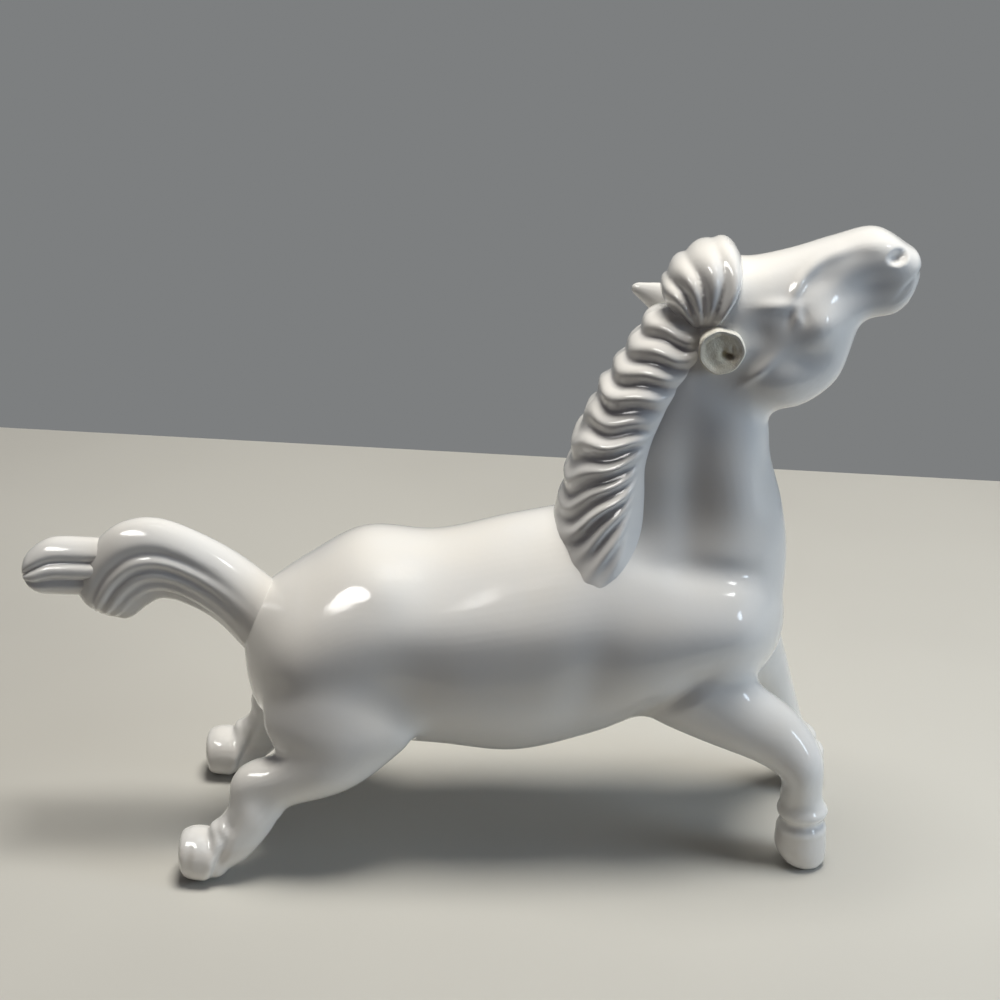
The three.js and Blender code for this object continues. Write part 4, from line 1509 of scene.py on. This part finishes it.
@dataclass(frozen=True)
class Lock:
    """Hair between two outlines in the side view, grooved along its way on both sides.

    The outlines are (x, z) of the upper or outer edge and of the lower or inner one. The grooves have
    their places from 1 at the upper edge to -1 at the lower. A share of the length at the root is bare
    of them, and the root flares.
    """

    over: tuple[tuple[float, float], ...]
    under: tuple[tuple[float, float], ...]
    width: float
    grooves: tuple[float, ...]
    bare: float
    flare: float = 0.0
    groove_depth: float = 1.0
    groove_width: float = 0.15

    def keys(self) -> list[Section]:
        """Key sections across the hair, from the root to the end.

        Returns:
            The sections.
        """
        places = np.linspace(0, 1, len(self.over))
        taper = np.interp(places, [0, 0.3, 0.6, 0.85, 1], [0.86, 0.96, 1, 0.9, 0.62])
        rows = []
        for a, b, share in zip(self.over, self.under, taper):
            lean = math.degrees(math.atan2(a[0] - b[0], a[1] - b[1]))
            middle = ((a[0] + b[0]) / 2, (a[1] + b[1]) / 2)
            rows.append(Section(*middle, lean, math.dist(a, b), self.width * share))
        return rows

    def relief(self, t: Array, angle: Array) -> Array:
        """Height of the flare, a bell over the root, less the bell-shaped troughs of the grooves.

        Args:
            t: place along the hair, from its root.
            angle: place round a section, with the upper edge at a quarter turn.

        Returns:
            Heights in mm.
        """
        height = np.sin(angle)
        troughs = sum(np.exp(-((height - place) / self.groove_width) ** 2) for place in self.grooves)
        flare = self.flare * np.exp(-(t / 0.17) ** 2)
        return flare - self.groove_depth * troughs * step(t, self.bare, self.bare + 0.35)

    def skin(self) -> Shape:
        """The closed skin of the hair."""
        return loft(self.keys(), rings=220, sides=160, start=0.04, end=0.12, relief=self.relief)


@dataclass
class Tail:
    """A switch that arches and curls under, and the lock that sticks out past the curl."""

    switch: Lock = Lock(
        over=((9, 57), (-4.5, 70.8), (-17, 77.8), (-26.5, 77.3), (-33.2, 71.8), (-37, 64.3), (-38, 58.3)),
        under=((4, 46), (-5, 53.2), (-13, 57.7), (-18, 59), (-21.5, 57.4), (-25, 54.6), (-28.6, 53.2)),
        width=12.5, grooves=(0.36, -0.05, -0.42, -0.74), bare=0.03, flare=2.5,
    )
    tip: Lock = Lock(
        over=((-28, 73), (-34, 73.6), (-42.5, 73.6), (-47.6, 70.5), (-50, 66.5)),
        under=((-28, 60), (-34, 59.8), (-41.5, 60.0), (-46, 60.6), (-49, 63.0)),
        width=9.75, grooves=(0.38, -0.32), bare=-0.35,
    )

    def build(self) -> dict[str, bpy.types.Object]:
        """Makes the switch and its tip, by node."""
        locks = {"tail": self.switch, "tail_tip": self.tip}
        return {node: glazed(node, lock.skin(), 6, 0.12) for node, lock in locks.items()}


# Studio


class Effect(Enum):
    """What a lamp does: it lights the figurine, or shows as a mirror image in the glaze."""

    LIGHT = 0
    IMAGE = 1


@dataclass
class Softbox:
    """A soft lamp that looks at the figurine."""

    name: str
    effect: Effect
    place: tuple[float, float, float]
    size: tuple[float, float]
    watts: float
    colour: tuple[float, float, float]
    aim: tuple[float, float, float] = (0.0, 0.0, 0.06)

    def build(self) -> None:
        """Hangs the lamp."""
        lamp = bpy.data.lights.new(self.name, "AREA")
        lamp.shape = "ELLIPSE"
        lamp.size, lamp.size_y = self.size
        lamp.energy = self.watts
        lamp.color = self.colour
        look = np.subtract(self.aim, self.place)
        tilt = math.acos(-look[2] / np.linalg.norm(look))
        turn = math.atan2(look[1], look[0]) - math.pi / 2
        held = placed(self.name, lamp)
        held.location = self.place
        held.rotation_euler = (tilt, 0, turn)
        held.visible_glossy = self.effect is Effect.IMAGE
        held.visible_diffuse = self.effect is Effect.LIGHT


@dataclass
class Studio:
    """Table, soft light and the camera at the photograph's angle."""

    eye: tuple[float, float, float] = (58.0, -408.7, 256.3)
    pitch: float = 23.0
    lens: float = 72.0
    sensor: float = 36.0
    nearest: float = 0.01
    table_half: float = 1.6
    table_edge: float = 0.237
    edge_slope: float = -0.146
    table_front: float = -0.09
    sky: Colour = tint(0.020, 0.017, 0.024)
    wall: Colour = tint(0.205, 0.212, 0.215)
    lamps: list[Softbox] = field(default_factory=lambda: [
        Softbox("window_light", Effect.LIGHT, (0.10, 0.02, 0.85), (0.36, 0.36), 7.4, (1.0, 0.97, 0.91)),
        Softbox("fill_light", Effect.LIGHT, (0.48, -0.14, 0.18), (0.24, 0.24), 0.85, (0.70, 0.84, 1.0)),
        Softbox("window_image", Effect.IMAGE, (-0.44, -0.40, 0.78), (0.62, 0.24), 4.4, (1.0, 0.98, 0.95)),
        Softbox("lamp_image", Effect.IMAGE, (0.525, -0.252, 0.802), (0.15, 0.12), 0.55, (1.0, 1.0, 1.0)),
        Softbox("door_image", Effect.IMAGE, (0.753, -0.526, 0.337), (0.12, 0.20), 0.6, (0.72, 0.84, 1.0)),
    ])

    def table(self, top: bpy.types.Material) -> None:
        """Lays the table, which ends in front of the horse and at a sloping edge behind it.

        Args:
            top: the table's finish.
        """
        half, near = self.table_half, self.table_front
        right, left = (self.table_edge + self.edge_slope * x for x in (half, -half))
        corners = np.array([(-half, near, 0), (half, near, 0), (half, right, 0), (-half, left, 0)])
        mesh = mesh_of("table_top", corners, np.array([(0, 1, 2), (0, 2, 3)]))
        mesh.materials.append(top)
        table = placed("table_top", mesh)

    def room(self) -> None:
        """Sets the world: the sky lights the figurine, and the wall is what is seen and mirrored."""
        room = Tree(bpy.data.worlds.new("plain_room"))
        diffuse = room.node("ShaderNodeLightPath", out="Is Diffuse Ray")
        colour = room.blend(diffuse, self.wall, self.sky)
        light = room.node("ShaderNodeBackground", None, {"Color": colour})
        room.node("ShaderNodeOutputWorld", None, {"Surface": light})
        bpy.context.scene.world = room.owner
        bpy.context.scene.view_settings.view_transform = "Standard"

    def camera(self) -> None:
        """Sets the camera, which looks along +Y and down by the pitch."""
        lens = bpy.data.cameras.new("camera")
        lens.lens = self.lens
        lens.sensor_width = self.sensor
        lens.clip_start = self.nearest
        camera = placed("camera", lens)
        camera.location = (np.array(self.eye) + ORIGIN) * MM
        camera.rotation_euler = (math.radians(90 - self.pitch), 0, 0)
        bpy.context.scene.camera = camera

    def build(self, top: bpy.types.Material) -> None:
        """Sets the table, the world, the lamps and the camera.

        Args:
            top: the table's finish.
        """
        self.table(top)
        self.room()
        for lamp in self.lamps:
            lamp.build()
        self.camera()


def main() -> None:
    """Builds the castings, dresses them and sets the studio."""
    logging.basicConfig(level=logging.INFO, format="%(name)s: %(message)s")
    trunk = Trunk()
    neck = Neck(trunk)
    head = Head(neck)
    legs = [kind(trunk, side) for kind in (Foreleg, HindLeg) for side in Side]
    assemblies = [Skin(trunk, neck, head, legs), Mane(neck), Forelock(neck), Ears(neck), Tail()]
    finishes = {"glaze": Glaze().material(), "bisque": Bisque().material()}
    for assembly in assemblies:
        for node, piece in assembly.build().items():
            piece.data.materials.append(finishes[piece["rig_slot"]])
            log.info("%s: %d triangles", node, len(piece.data.polygons))
    Studio().build(TableTop().material())


if __name__ == "__main__":
    main()
